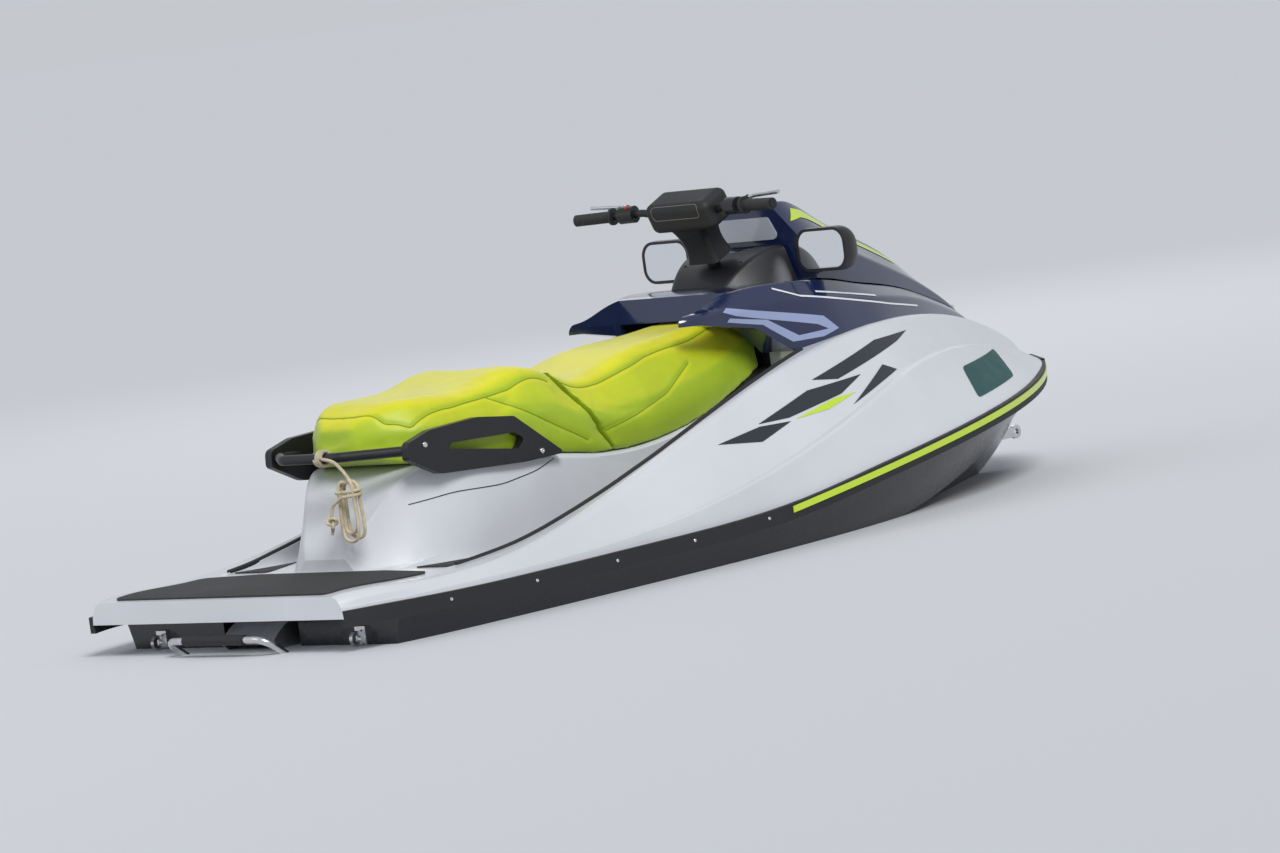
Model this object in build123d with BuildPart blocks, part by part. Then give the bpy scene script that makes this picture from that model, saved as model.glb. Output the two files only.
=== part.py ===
"""A three-seat personal watercraft: hull, deck, seat, steering and jet pump.

Millimetres, +X forward, +Y to port, +Z up. The origin is on the centreline, amidships, in the plane of
the still water on which the empty craft floats.
"""

from math import cos, radians, sin, tan
import os

from build123d import *

os.makedirs("parts", exist_ok=True)

# Overall size and clearances
LENGTH = 3350.0
FAR = 2000.0  # past the craft on any side, for cuts right through
SEAM = 0.5  # joint between mouldings that are bonded or bolted together
RUN = 6.0  # clearance round a piece that moves
FIT = 0.06  # radial clearance of a pin that turns in its hole
INSET = 0.3  # clearance of a piece let into a recess

BOW_X = LENGTH / 2
STERN_X = -LENGTH / 2
NOSE_CAP = 25.0  # length of the rail ahead of the mouldings
DECK_END = STERN_X + 20.0
TRANSOM_X = -1500.0  # where the hull's bottom ends under the boarding platform
BAND = 24.0  # height of the deck's vertical band above the gunwale

# The mouldings' stations from stern to bow. Half widths are y, heights are z.
STATIONS = [
    # x, gunwale y, gunwale z, chine y, chine z, keel z, crease y, crease z, ledge, shoulder y, shoulder z
    (DECK_END, 505, 92, 455, -70, -226, 500, 124, 3, 484, 152),
    (-1400, 572, 90, 515, -74, -230, 567, 122, 3, 545, 154),
    (-1050, 596, 88, 533, -75, -230, 590, 126, 4, 552, 172),
    (-500, 605, 92, 540, -72, -230, 600, 158, 11, 512, 300),
    (-50, 606, 108, 532, -55, -230, 590, 232, 19, 455, 425),
    (300, 600, 150, 505, -28, -228, 556, 318, 24, 420, 508),
    (650, 570, 192, 452, 15, -208, 476, 402, 24, 372, 548),
    (950, 510, 226, 375, 72, -160, 374, 427, 20, 288, 538),
    (1220, 410, 254, 272, 126, -85, 266, 409, 14, 192, 497),
    (1440, 282, 276, 168, 176, 10, 162, 377, 7, 112, 435),
    (1590, 160, 292, 85, 220, 120, 84, 346, 4, 56, 374),
    (BOW_X - NOSE_CAP, 60, 298, 28, 255, 195, 30, 328, 2, 20, 338),
]
DECK_RADII = (0.0, 10.0, 34.0)  # at the gunwale, the band and the shoulder
LEDGE_ROUND = 0.45  # rounding of the crease's ledge, as a share of its width
LEDGE_RISE = 0.25  # slope of the ledge
CHINE_FLAT = 34.0
STRAKE_SHARE = 0.5  # how far out from keel to chine the lifting strake runs
STRAKE_WIDE = 26.0
STRAKE_END = 8  # number of stations the strakes run past

# Jet pump, on an axis parallel to X
PUMP_Z = -105.0
PUMP_BORE = 78.0
PUMP_WALL = 9.0
BULKHEAD_X = -1180.0  # front of the pump's recess, where its flange is bolted
RECESS_Y = 150.0
DUCT_X = (BULKHEAD_X, -700.0)  # the moulded duct that is let into the hull's bottom
DUCT_Y = 112.0
DUCT_TOP = -12.0
DUCT_WAY = [
    # x, half width, half height, centre z of the water way
    (BULKHEAD_X, PUMP_BORE, PUMP_BORE, PUMP_Z),
    (-980, 88, 72, -165),
    (-760, 90, 62, -295),
]
FLANGE = (104.0, 14.0)  # radius and thickness
CONE_X = -1385.0
OUTLET_X = -1476.0
OUTLET_R = 43.0
OUTLET_WALL = 6.0
SHAFT_R = 11.0
SHAFT_ROOM = 5.0  # round the shaft where it passes through the hull
HUB_R = 30.0
HUB_TAPER = 60.0
HUB_TIP_R = 8.0
VANE = 5.0  # thickness
VANE_BACK = 8.0  # from the hub's front edge to the vanes
IMPELLER_X = (-1275.0, -1205.0)
BLADES = 3
BLADE_TWIST = 75.0
BLADE_THICK = 7.0
BLADE_GAP = 2.0  # from a blade's tip to the bore
BLADE_IN = 3.0  # from the hub's ends
VANES = 6

# Steering nozzle and reverse bucket
NOZZLE_PIVOT_X = -1482.0
NOZZLE_FRONT_X = -1477.0
NOZZLE_END_X = -1560.0
BELL_R = 70.0
NOZZLE_END_R = 42.0
NOZZLE_WALL = 6.0
BUCKET_PIVOT = (-1425.0, PUMP_Z + 10.0)
BUCKET_R = 168.0
BUCKET_WALL = 8.0
BUCKET_Y = 98.0  # inner half width
BUCKET_ARC = (40.0, 120.0)  # stowed, in degrees up from straight aft
PIN_R = 8.0
BOSS_R = 14.0
EAR = 10.0  # thickness of the ears that hold the steering nozzle
WEB_FOOT = 55.0  # inner end of the ears' webs and of the bosses, from the pump's axis
BELL_LONG = 22.0  # length of the nozzle's straight part aft of its pivot

# Engine, one plain block under the seat
ENGINE = (620.0, 340.0, 400.0)
ENGINE_X = -230.0
ENGINE_LOW = -150.0
BAY_ROOM = 30.0

# Cockpit
FLOOR_Z = 140.0
MAT = 5.0
MAT_X = (-1190.0, -60.0)
MAT_IN = (50.0, 36.0)  # margin of the mat from the footwell's inner and outer side
MAT_DIP = 20.0  # the mat's blank reaches this far under the floor, and is cut back to it
WELL_X = (640.0, 1050.0)  # storage well under the front hood
WELL_Y = 140.0
WELL_FLOOR = 250.0
SEAT_END = 392.0  # front of the room that the seat lies in
SADDLE_X = -690.0  # rear end of the seat's trough in the deck
SADDLE_Y = 270.0
SADDLE_DROP = -10.0  # the trough's floor from the pedestal's top
PEDESTAL_ROUND = 16.0
SEAT_SPLIT = ((-540.0, 640.0), (-290.0, 290.0))  # the line between the two cushions, in x and z
LID_REAR_X = 540.0
LID_SKIN = 14.0
CREST_PROUD = 5.0
HINGE_AT = (1354.0, 511.0)  # x and z of the lid's hinge
HINGE_PIN_R = 5.0
KNUCKLE_R = 11.0
KNUCKLE_Y = 28.0  # half length
HINGE_EAR_Y = 36.0
HINGE_EAR = 12.0
HINGE_FOOT = 79.0  # depth of the hinge's ears below the pin
COLUMN_FOOT = (405.0, 785.0)  # x and z where the steering axis leaves the console
COLUMN_RAKE = 24.0
COLUMN_R = 18.0
COLUMN_DEPTH = 45.0  # in the console's bearing
CLAMP_LOW = 132.0  # height of the handlebar's clamp on the column
PAD = (112.0, 250.0, 92.0)
PAD_ROUND = 24.0
COVER_ROUND = 16.0
CONSOLE_FOOT = 645.0
DIAL_AT = (496.0, 800.0)  # x and z of the instrument's face
DIAL_TILT = 15.0
DIAL = (150.0, 60.0)  # width across and length along
DIAL_ROUND = 16.0
DIAL_DEPTH = 12.0
DIAL_THICK = 8.0
BAR_R = 11.0
BAR_BEND = 45.0
BAR = [(0, 70, 150), (-20, 160, 185), (-60, 398, 200)]  # from the middle out, in the column's frame
GRIP = (262.0, 394.0)  # inner and outer y
GRIP_R = 17.0
GRIP_COLLAR = 8.0
POD = (188.0, 238.0)  # inner and outer y
POD_R = 25.0
LEVER_R = 6.0
LEVER_TIP = (-2.0, 376.0, 206.0)  # in the column's frame
PANEL = (4.0, 822.0, 888.0)  # thickness, lowest and highest z of the panel on the lid's rear wall
MIRROR_X = (530.0, 624.0)
MIRROR_AT = (312.0, 782.0)  # y and z of the glass
MIRROR_SIZE = (190.0, 124.0)
MIRROR_RIM = 8.0
MIRROR_LET_IN = 6.0
GLASS = 4.0

# Platform, step and fittings at the stern
RAIL_OUT = 15.0
RAIL_IN = 40.0  # the rail's blank reaches this far in, and is cut back to the mouldings
RAIL_HIGH = 22.0  # half height of the rail
STRIPE_Z = (-3.0, 15.0)  # lower and upper edge of the bright strip, from the gunwale
STRIPE_FROM = 4  # the station that the bright strip starts at
STRIPE_PROUD = 3.0
STEP_HINGE = (-1526.0, -60.0)
STEP_TREAD = (-1668.0, 46.0)  # x and z when stowed
STEP_Y = 200.0
STEP_R = 10.0
STEP_EYE_R = 15.0
STEP_EYE_Y = 12.0  # half length of the eye
STEP_PIN_R = 6.0
STEP_EAR = 6.0
STEP_EAR_R = 14.0
STEP_BEND = 40.0
STERN_EYE = (-1526.0, 400.0, 20.0)
BOW_EYE = (1612.0, 98.0)
EYE_R = 10.0
EYE_WALL = 11.0
EYE_THICK = 12.0
PLUG_AT = (300.0, -100.0)  # y and z
PLUG_R = 16.0
PLUG_LONG = 12.0
PLATE_X = (-1520.0, BULKHEAD_X - 16)
PLATE_Z = (-206.0, -198.0)
PLATE_LIP = (5.0, 34.0)  # thickness and height of the plate's side lips, bolted to the recess's walls
GRATE_Y = (-54.0, -18.0, 18.0, 54.0)
GRATE_BAR = 8.0
GRATE_Z = (-220.0, -204.0)
HOOP_R = 14.0
HOOP_X = -1245.0  # rearmost line of the grab hoop
HOOP_Z = 466.0
HOOP_BEND = 40.0
BLADE_Y = 262.0
BLADE = 26.0
HITCH_Y = (-72.0, -36.0)  # where the mooring line is tied round the hoop
ROPE_R = 5.0
HANK = (44.0, 74.0, 172.0)  # depth, width and height of the folded line
HANK_ROUND = (30.0, 14.0)  # seen from aft, and round its front and rear faces


def across(x):
    """The plane of a cross-section at x, whose own axes are the craft's Y and Z."""
    return Plane(origin=(x, 0, 0), x_dir=(0, 1, 0), z_dir=(1, 0, 0))


def side(y):
    """A plane at y seen from starboard, whose own axes are the craft's X and Z."""
    return Plane(origin=(0, y, 0), x_dir=(1, 0, 0), z_dir=(0, -1, 0))


def both_sides(half):
    """Closes a half outline (y, z), given from its lowest point up, with its mirror image."""
    return [(-y, z) for y, z in half] + [(y, z) for y, z in reversed(half)]


def outline(plane, points, radii):
    """A face on a plane from straight runs with rounded corners; one radius, or one for each corner."""
    with BuildSketch(plane) as face:
        with BuildLine():
            FilletPolyline(*points, radius=radii, close=True)
        make_face()
    return face.sketch


def prism(plane, points, radii, depth, both=True):
    """A prism on an outline, half its depth to each side of the plane, or all of it along the normal."""
    with BuildPart() as made:
        extrude(outline(plane, points, radii), amount=depth / 2 if both else depth, both=both)
    return made.part


def lofted(sections):
    with BuildPart() as made:
        loft(sections)
    return made.part


def box(x, y, z):
    """A plain box from (low, high) along each axis."""
    with BuildPart() as made:
        with Locations(((x[0] + x[1]) / 2, (y[0] + y[1]) / 2, (z[0] + z[1]) / 2)):
            Box(x[1] - x[0], y[1] - y[0], z[1] - z[0])
    return made.part


def rod(start, end, radius):
    """A round bar between two points."""
    run = Vector(*end) - Vector(*start)
    with BuildPart(Plane(origin=start, z_dir=run)) as made:
        Cylinder(radius, run.length, align=(Align.CENTER, Align.CENTER, Align.MIN))
    return made.part


def tube(points, radius, bend):
    """A round bar that follows straight runs with one bend radius between them."""
    with BuildPart() as made:
        with BuildLine() as path:
            FilletPolyline(*points, radius=bend)
        with BuildSketch(Plane(origin=path.line @ 0, z_dir=path.line % 0)):
            Circle(radius)
        sweep(path=path.line)
    return made.part


def mirrored(shape):
    """The same piece on the other side of the craft."""
    return mirror(shape, about=Plane.XZ)


def rounded_section(x, half, radii):
    """A symmetrical cross-section at x whose corners are rounded, less where the section is small."""
    slim = min(1.0, half[-1][0] / 120)
    shrunk = [r * slim for r in radii]
    return outline(across(x), both_sides(half), shrunk + shrunk[::-1])


def write(shape, name):
    shape.label = name
    export_step(shape, f"parts/{name}.step")


# Hull bottom: keel, a chine flat each side and a straight topside, closed at the gunwale
hull_sections = []
strake_sections = []
for x, gy, gz, cy, cz, kz, *_ in STATIONS:
    inner = cy - CHINE_FLAT * cy / 540
    half = [(inner, cz), (cy, cz), (gy, gz)]
    with BuildSketch(across(x)) as face:
        with BuildLine():
            Polyline((0, kz), *both_sides(half), close=True)
        make_face()
    hull_sections.append(face.sketch)
    rise = (cz - kz) / inner
    low = STRAKE_SHARE * inner
    high = low + STRAKE_WIDE * cy / 540
    edge = kz + rise * low
    with BuildSketch(across(x)) as face:
        with BuildLine():
            Polyline((low, edge), (high, edge), (high, kz + rise * high + 6), (low, edge + 6), close=True)
        make_face()
    strake_sections.append(face.sketch)

hull_blank = lofted(hull_sections)
strake = lofted(strake_sections[:STRAKE_END])
with BuildPart() as way:
    # water way from the intake in the bottom up to the pump
    for x, wide, high, z in DUCT_WAY:
        with BuildSketch(across(x)):
            with Locations((0, z)):
                Ellipse(wide, high)
    loft()

bay = ((ENGINE_X - ENGINE[0] / 2 - BAY_ROOM, ENGINE_X + ENGINE[0] / 2 + BAY_ROOM),
       (-ENGINE[1] / 2 - BAY_ROOM, ENGINE[1] / 2 + BAY_ROOM),
       (ENGINE_LOW, ENGINE_LOW + ENGINE[2] + BAY_ROOM))
shaft_hole = rod((BULKHEAD_X - 1, 0, PUMP_Z), (bay[0][0] + 1, 0, PUMP_Z), SHAFT_R + SHAFT_ROOM)
with BuildPart() as hull:
    add(hull_blank)
    add(strake)
    add(mirrored(strake))
    add(box((STERN_X, TRANSOM_X), (-700, 700), (-300, 300)), mode=Mode.SUBTRACT)
    add(box((STERN_X, BULKHEAD_X), (-RECESS_Y, RECESS_Y), (-300, 300)), mode=Mode.SUBTRACT)
    add(box((STERN_X, DUCT_X[1] + SEAM), (-DUCT_Y - SEAM, DUCT_Y + SEAM), (-300, DUCT_TOP + SEAM)),
        mode=Mode.SUBTRACT)
    add(box(*bay), mode=Mode.SUBTRACT)
    add(shaft_hole, mode=Mode.SUBTRACT)
write(hull.part, "hull")

# Intake duct: a moulding let into the hull's bottom, with the water way through it
with BuildPart() as duct:
    add(box(DUCT_X, (-DUCT_Y, DUCT_Y), (-300, DUCT_TOP)))
    add(hull_blank, mode=Mode.INTERSECT)
    add(way.part, mode=Mode.SUBTRACT)
    add(shaft_hole, mode=Mode.SUBTRACT)
write(duct.part, "intake_duct")

# Deck blank: the whole upper moulding before the cockpit is cut into it
deck_sections = []
for x, gy, gz, _, _, _, ry, rz, ledge, sy, sz in STATIONS:
    slim = min(1.0, sy / 300)
    half = [(gy, gz + SEAM), (gy - 3, gz + BAND), (ry, rz), (ry - ledge, rz + LEDGE_RISE * ledge), (sy, sz)]
    gunwale_r, band_r, shoulder_r = [r * slim for r in DECK_RADII]
    radii = [gunwale_r, band_r, LEDGE_ROUND * ledge, LEDGE_ROUND * ledge, shoulder_r]
    deck_sections.append(outline(across(x), both_sides(half), radii + radii[::-1]))
deck_blank = lofted(deck_sections)

# A footwell each side, open to the platform aft and rising to a foot brace forward
FOOTWELL = [
    # x, inner y, outer y at the floor, outer y at the top, floor z
    (-1230, 248, 470, 500, FLOOR_Z + 14),
    (-1000, 268, 460, 492, FLOOR_Z + 4),
    (-500, 250, 452, 482, FLOOR_Z),
    (-50, 232, 400, 424, FLOOR_Z),
    (150, 222, 368, 398, FLOOR_Z + 40),
    (350, 215, 330, 360, FLOOR_Z + 300),
]
channel = lofted([outline(across(x), [(inner, z), (low, z), (top, 700), (inner, 700)], [30, 30, 0, 0])
                  for x, inner, low, top, z in FOOTWELL])

# Pedestal: the island that carries the seat
PEDESTAL = [
    # x, half width at the foot, foot z, half width at the top, top z
    (-1240, 150, 110, 80, 190),
    (-1195, 205, 110, 120, 262),
    (-1130, 250, 110, 168, 345),
    (-1055, 282, 110, 216, 404),
    (-960, 302, 110, 254, 410),
    (-860, 304, 110, 264, 400),
    (SADDLE_X, 290, 110, 262, 385),
    (-520, 272, 110, 252, 360),
    (-300, 254, 112, 240, 335),
    (-100, 240, 118, 226, 345),
    (100, 232, 132, 208, 382),
    (260, 226, 148, 190, 432),
    (400, 220, 165, 176, 480),
]
pedestal = lofted([rounded_section(x, [(foot, low), (top, z)], [0, PEDESTAL_ROUND])
                   for x, foot, low, top, z in PEDESTAL])
saddle_half = [(SADDLE_Y, SADDLE_DROP), (SADDLE_Y, FAR)]
saddle = lofted([outline(across(x), both_sides([(y, z + rise) for y, rise in saddle_half]), 0)
                 for x, _, _, _, z in PEDESTAL if x >= SADDLE_X])
saddle &= box((-FAR, SEAT_END), (-FAR, FAR), (0, FAR))

with BuildPart() as deck:
    add(deck_blank)
    add(channel, mode=Mode.SUBTRACT)
    add(mirrored(channel), mode=Mode.SUBTRACT)
    add(saddle, mode=Mode.SUBTRACT)
    add(pedestal & box((-FAR, SEAT_END), (-FAR, FAR), (0, FAR)))
    add(box(*bay), mode=Mode.SUBTRACT)
    add(box(WELL_X, (-WELL_Y, WELL_Y), (WELL_FLOOR, 800)), mode=Mode.SUBTRACT)
write(deck.part, "deck")
with BuildPart() as engine:
    with Locations((ENGINE_X, 0, ENGINE_LOW + SEAM)):
        Box(*ENGINE, align=(Align.CENTER, Align.CENTER, Align.MIN))
write(engine.part, "engine_block")

# Seat: one shape, parted on a slanting line into a rear and a front cushion
SEAT = [
    # x, low y, low z, hip y, hip z, top y, top z
    (-1150, 78, 454, 84, 490, 58, 528),
    (-1115, 128, 436, 136, 503, 100, 562),
    (-1050, 190, 415, 198, 507, 150, 582),
    (-960, 232, 404, 240, 501, 188, 585),
    (-900, 246, 400, 254, 495, 200, 584),
    (-690, 250, 382, 260, 505, 208, 612),
    (-500, 248, 356, 258, 485, 196, 592),
    (-300, 240, 330, 250, 455, 180, 560),
    (-160, 231, 336, 240, 458, 168, 592),
    (-20, 220, 350, 228, 474, 152, 608),
    (120, 206, 382, 210, 498, 132, 616),
    (260, 190, 428, 188, 540, 105, 628),
    (370, 172, 465, 160, 560, 80, 622),
]
seat = lofted([rounded_section(x, [(ly, lz), (hy, hz), (ty, tz)], [12, 50, 45])
               for x, ly, lz, hy, hz, ty, tz in SEAT]) - pedestal
(split_x, split_z), (foot_x, foot_z) = SEAT_SPLIT
fore = prism(Plane.XZ, [(split_x + SEAM, split_z), (split_x + 1500, split_z), (foot_x + 1500, foot_z),
                        (foot_x + SEAM, foot_z)], 0, 800)
aft = prism(Plane.XZ, [(split_x - SEAM, split_z), (split_x - 1500, split_z), (foot_x - 1500, foot_z),
                       (foot_x - SEAM, foot_z)], 0, 800)
seat_front = seat & fore
seat_rear = seat & aft
write(seat_rear, "seat_rear")

# Shroud: the coloured moulding on the foredeck, from the seat's front to the nose
SHROUD = [
    # x, low y, low z, knee y, knee z, top y, top z
    (0, 206, 580, 218, 650, 180, 668),
    (150, 250, 530, 262, 655, 222, 690),
    (300, 310, 500, 304, 655, 262, 712),
    (520, 385, 480, 340, 645, 290, 698),
    (610, 376, 490, 330, 634, 278, 684),
    (700, 362, 500, 318, 622, 265, 665),
    (880, 305, 500, 270, 600, 222, 634),
    (1060, 238, 490, 205, 568, 172, 592),
    (1220, 170, 455, 145, 524, 122, 542),
    (1340, 115, 420, 95, 486, 80, 497),
    (1410, 85, 400, 66, 450, 52, 456),
]


def shroud_loft(grown):
    """The shroud's outer form, grown by a clearance where the lid is cut back from it."""
    sections = []
    for x, ly, lz, ky, kz, ty, tz in SHROUD:
        half = [(ly + grown, lz), (ky + grown, kz + grown), (ty + grown, tz + grown)]
        sections.append(rounded_section(x, half, [0, 24, 12]))
    return lofted(sections)


knee_room = prism(side(0), [(0, 300), (200, 300), (200, 640), (250, 800), (0, 800)], 0, 440)
seat_side = prism(side(0), [(-20, 636), (60, 632), (250, 596), (SEAT_END, 472), (SEAT_END, 200), (-20, 200)],
                  [0, 0, 60, 0, 0, 0], FAR)
with BuildPart() as shroud:
    add(shroud_loft(0) - deck_blank)
    add(box((0, SEAT_END), (-205, 205), (300, 636)), mode=Mode.SUBTRACT)
    add(knee_room, mode=Mode.SUBTRACT)
    add(seat_side, mode=Mode.SUBTRACT)
    add(box(WELL_X, (-WELL_Y, WELL_Y), (WELL_FLOOR, 800)), mode=Mode.SUBTRACT)
write(shroud.part - pedestal - seat, "front_shroud")
write(seat_front, "seat_front")

# Front hood: a hollow lid over the storage well, hinged at the nose
LID = [
    # x, low y, brow y, brow z, top y, top z
    (520, 288, 262, 784, 130, 902),
    (610, 278, 250, 790, 124, 926),
    (700, 262, 234, 770, 116, 882),
    (880, 222, 196, 706, 104, 790),
    (1060, 172, 150, 640, 88, 698),
    (1220, 122, 108, 572, 60, 590),
    (1340, 80, 70, 508, 40, 512),
]
shroud_top = {x: tz for x, _, _, _, _, _, tz in SHROUD}


def lid_loft(skin):
    """The lid's outer form, or with a skin's thickness the hollow inside it."""
    sections = []
    for x, ly, by, bz, ty, tz in LID:
        half = [(ly - skin, shroud_top[x] - 60), (by - skin, bz - skin), (ty - skin, tz - skin)]
        sections.append(rounded_section(x, half, [0, 26, 22]))
    return lofted(sections)


hinge_x, hinge_z = HINGE_AT
lid_front_x = hinge_x - KNUCKLE_R - RUN
lid_blank = lid_loft(0) & box((LID_REAR_X, lid_front_x), (-400, 400), (400, 1000))
lid_room = lid_loft(LID_SKIN) & box((LID_REAR_X + LID_SKIN, 1250), (-400, 400), (400, 1000))
knuckle_ends = (hinge_x, -KNUCKLE_Y, hinge_z), (hinge_x, KNUCKLE_Y, hinge_z)
with BuildPart() as lid:
    add(lid_blank - lid_room)
    add(box((hinge_x - 60, hinge_x), (-KNUCKLE_Y, KNUCKLE_Y), (hinge_z - 5, hinge_z + 5)))
    add(rod(*knuckle_ends, KNUCKLE_R))
    add(rod(*knuckle_ends, HINGE_PIN_R + FIT), mode=Mode.SUBTRACT)
    add(shroud_loft(RUN), mode=Mode.SUBTRACT)
write(lid.part, "hood_lid")

# Bright trim along the middle of the lid, ending at its rear brow
CREST = [
    # x, half width, lowest z
    (LID_REAR_X + 8, 62, 875),
    (620, 54, 890),
    (700, 40, 850),
    (800, 24, 800),
    (880, 12, 760),
]
crest_strip = lofted([outline(across(x), [(-half, z), (-half, z + 90), (half, z + 90), (half, z)], 0)
                      for x, half, z in CREST])
crest = (lid_loft(-CREST_PROUD) & crest_strip) - lid_blank
write(crest, "hood_crest")

# Panel on the lid's rear wall, facing the handlebar
panel_thick, panel_low, panel_high = PANEL
panel = prism(across(LID_REAR_X - panel_thick), [(-150, panel_low), (150, panel_low), (112, panel_high),
                                                 (-112, panel_high)], 14, panel_thick, both=False)
write(panel, "hood_panel")

# Hinge of the lid: a pin through its knuckle, held in a fixed bracket on the shroud
with BuildPart() as hood_hinge:
    for y in (-HINGE_EAR_Y, HINGE_EAR_Y):
        with Locations((hinge_x, y, hinge_z)):
            Box(2 * KNUCKLE_R, HINGE_EAR, HINGE_FOOT, align=(Align.CENTER, Align.CENTER, Align.MAX))
        add(rod((hinge_x, y - HINGE_EAR / 2, hinge_z), (hinge_x, y + HINGE_EAR / 2, hinge_z), KNUCKLE_R))
    add(rod((hinge_x, -HINGE_EAR_Y, hinge_z), (hinge_x, HINGE_EAR_Y, hinge_z), HINGE_PIN_R))
    add(shroud.part, mode=Mode.SUBTRACT)
    add(deck_blank, mode=Mode.SUBTRACT)
write(hood_hinge.part, "hood_hinge")

# Mirrors, one each side of the lid: a tapered housing with the glass let into its rear face
mirror_y, mirror_z = MIRROR_AT
mirror_round = min(MIRROR_SIZE) * 0.36


def mirror_outline(x, shift, grown, rounding):
    """The housing's outline at x, moved towards the lid and grown by the given amounts."""
    with BuildSketch(across(x)) as face:
        with Locations((mirror_y - shift, mirror_z - shift / 3)):
            RectangleRounded(MIRROR_SIZE[0] + grown, MIRROR_SIZE[1] + grown, rounding)
    return face.sketch


mirror_shell = lofted([mirror_outline(MIRROR_X[0], 0, 0, mirror_round),
                       mirror_outline(MIRROR_X[0] + 34, 4, 4, mirror_round),
                       mirror_outline(MIRROR_X[1], 20, -40, mirror_round * 0.8)])
with BuildPart() as mirror_port:
    add(mirror_shell)
    add(lid_blank, mode=Mode.SUBTRACT)
    recess = mirror_outline(MIRROR_X[0], 0, -2 * MIRROR_RIM, mirror_round - MIRROR_RIM)
    extrude(recess, amount=MIRROR_LET_IN, mode=Mode.SUBTRACT)
with BuildPart() as mirror_glass:
    extrude(mirror_outline(MIRROR_X[0] + MIRROR_LET_IN - GLASS, 0, -2 * MIRROR_RIM - 2 * INSET,
                           mirror_round - MIRROR_RIM - INSET), amount=GLASS)
write(mirror_port.part, "mirror_port")
write(mirrored(mirror_port.part), "mirror_starboard")
write(mirror_glass.part, "mirror_glass_port")
write(mirrored(mirror_glass.part), "mirror_glass_starboard")

# Storage tub: a liner that stands in the well under the lid
with BuildPart() as tub:
    add(box((WELL_X[0] + 2, WELL_X[1] - 2), (2 - WELL_Y, WELL_Y - 2), (WELL_FLOOR, 590)))
    fillet(tub.edges().filter_by(Axis.Z), radius=30)
    offset(amount=-5, openings=tub.faces().sort_by(Axis.Z)[-1])
write(tub.part, "storage_tub")

# Console under the handlebar, with the instrument let into its top
CONSOLE = [
    # x, half width at the foot, half width at the top, top z
    (330, 150, 105, 716),
    (400, 195, 135, 772),
    (470, 220, 155, 800),
    (LID_REAR_X - panel_thick - RUN, 228, 168, 806),
]
rake = radians(COLUMN_RAKE)
column = Plane(origin=(COLUMN_FOOT[0], 0, COLUMN_FOOT[1]), x_dir=(cos(rake), 0, sin(rake)),
               z_dir=(-sin(rake), 0, cos(rake)))
tilt = radians(DIAL_TILT)
dial = Plane(origin=(DIAL_AT[0], 0, DIAL_AT[1]), x_dir=(0, 1, 0), z_dir=(-sin(tilt), 0, cos(tilt)))
console_block = lofted([rounded_section(x, [(low, CONSOLE_FOOT), (top, z)], [0, 20])
                        for x, low, top, z in CONSOLE])


def on_column(points):
    """World points from points in the steering column's own frame."""
    return [column.from_local_coords(Vector(*p)) for p in points]


def dial_outline(shrunk):
    half_y = DIAL[0] / 2 - shrunk
    half_x = DIAL[1] / 2 - shrunk
    corners = [(-half_y, -half_x), (half_y, -half_x), (half_y, half_x), (-half_y, half_x)]
    return outline(dial.offset(-DIAL_DEPTH), corners, DIAL_ROUND - shrunk)


with BuildPart() as console:
    add(console_block)
    add(shroud.part, mode=Mode.SUBTRACT)
    add(rod(*on_column([(0, 0, -COLUMN_DEPTH), (0, 0, 60)]), COLUMN_R + FIT), mode=Mode.SUBTRACT)
    extrude(dial_outline(0), amount=50, mode=Mode.SUBTRACT)
write(console.part, "console")
with BuildPart() as gauge:
    extrude(dial_outline(INSET), amount=DIAL_THICK)
write(gauge.part, "gauge")

# Handlebar: column, tube, padded cover, grips and levers, all turning about the column
bar_points = [(x, -y, z) for x, y, z in reversed(BAR)] + BAR
bar = tube(on_column(bar_points), BAR_R, BAR_BEND)
with BuildPart(column.offset(CLAMP_LOW)) as clamp:
    Box(46, 110, 40, align=(Align.CENTER, Align.CENTER, Align.MIN))
    fillet(clamp.edges(), radius=6)
stem = rod(*on_column([(0, 0, -COLUMN_DEPTH), (0, 0, CLAMP_LOW + 2)]), COLUMN_R) + clamp.part - bar
write(stem, "steering_column")
write(bar, "handlebar")
COVER = [
    # height on the column, half length, half width
    (14, 44, 62),
    (70, 38, 52),
    (128, 46, 66),
]
cover_sections = []
for height, half_x, half_y in COVER:
    corners = [(-half_x, -half_y), (half_x, -half_y), (half_x, half_y), (-half_x, half_y)]
    cover_sections.append(outline(column.offset(height), corners, COVER_ROUND))
cover = lofted(cover_sections)
with BuildPart(column.offset(CLAMP_LOW - 8)) as pad:
    Box(*PAD, align=(Align.CENTER, Align.CENTER, Align.MIN))
    fillet(pad.edges(), radius=PAD_ROUND)
write(pad.part - stem - bar - cover, "handlebar_pad")
write(cover - stem - bar, "column_cover")


def along_bar(y):
    """The point of the bar's outer run at a given y, in the column's frame."""
    (x0, y0, z0), (x1, y1, z1) = BAR[-2:]
    share = (y - y0) / (y1 - y0)
    return (x0 + share * (x1 - x0), y, z0 + share * (z1 - z0))


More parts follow.
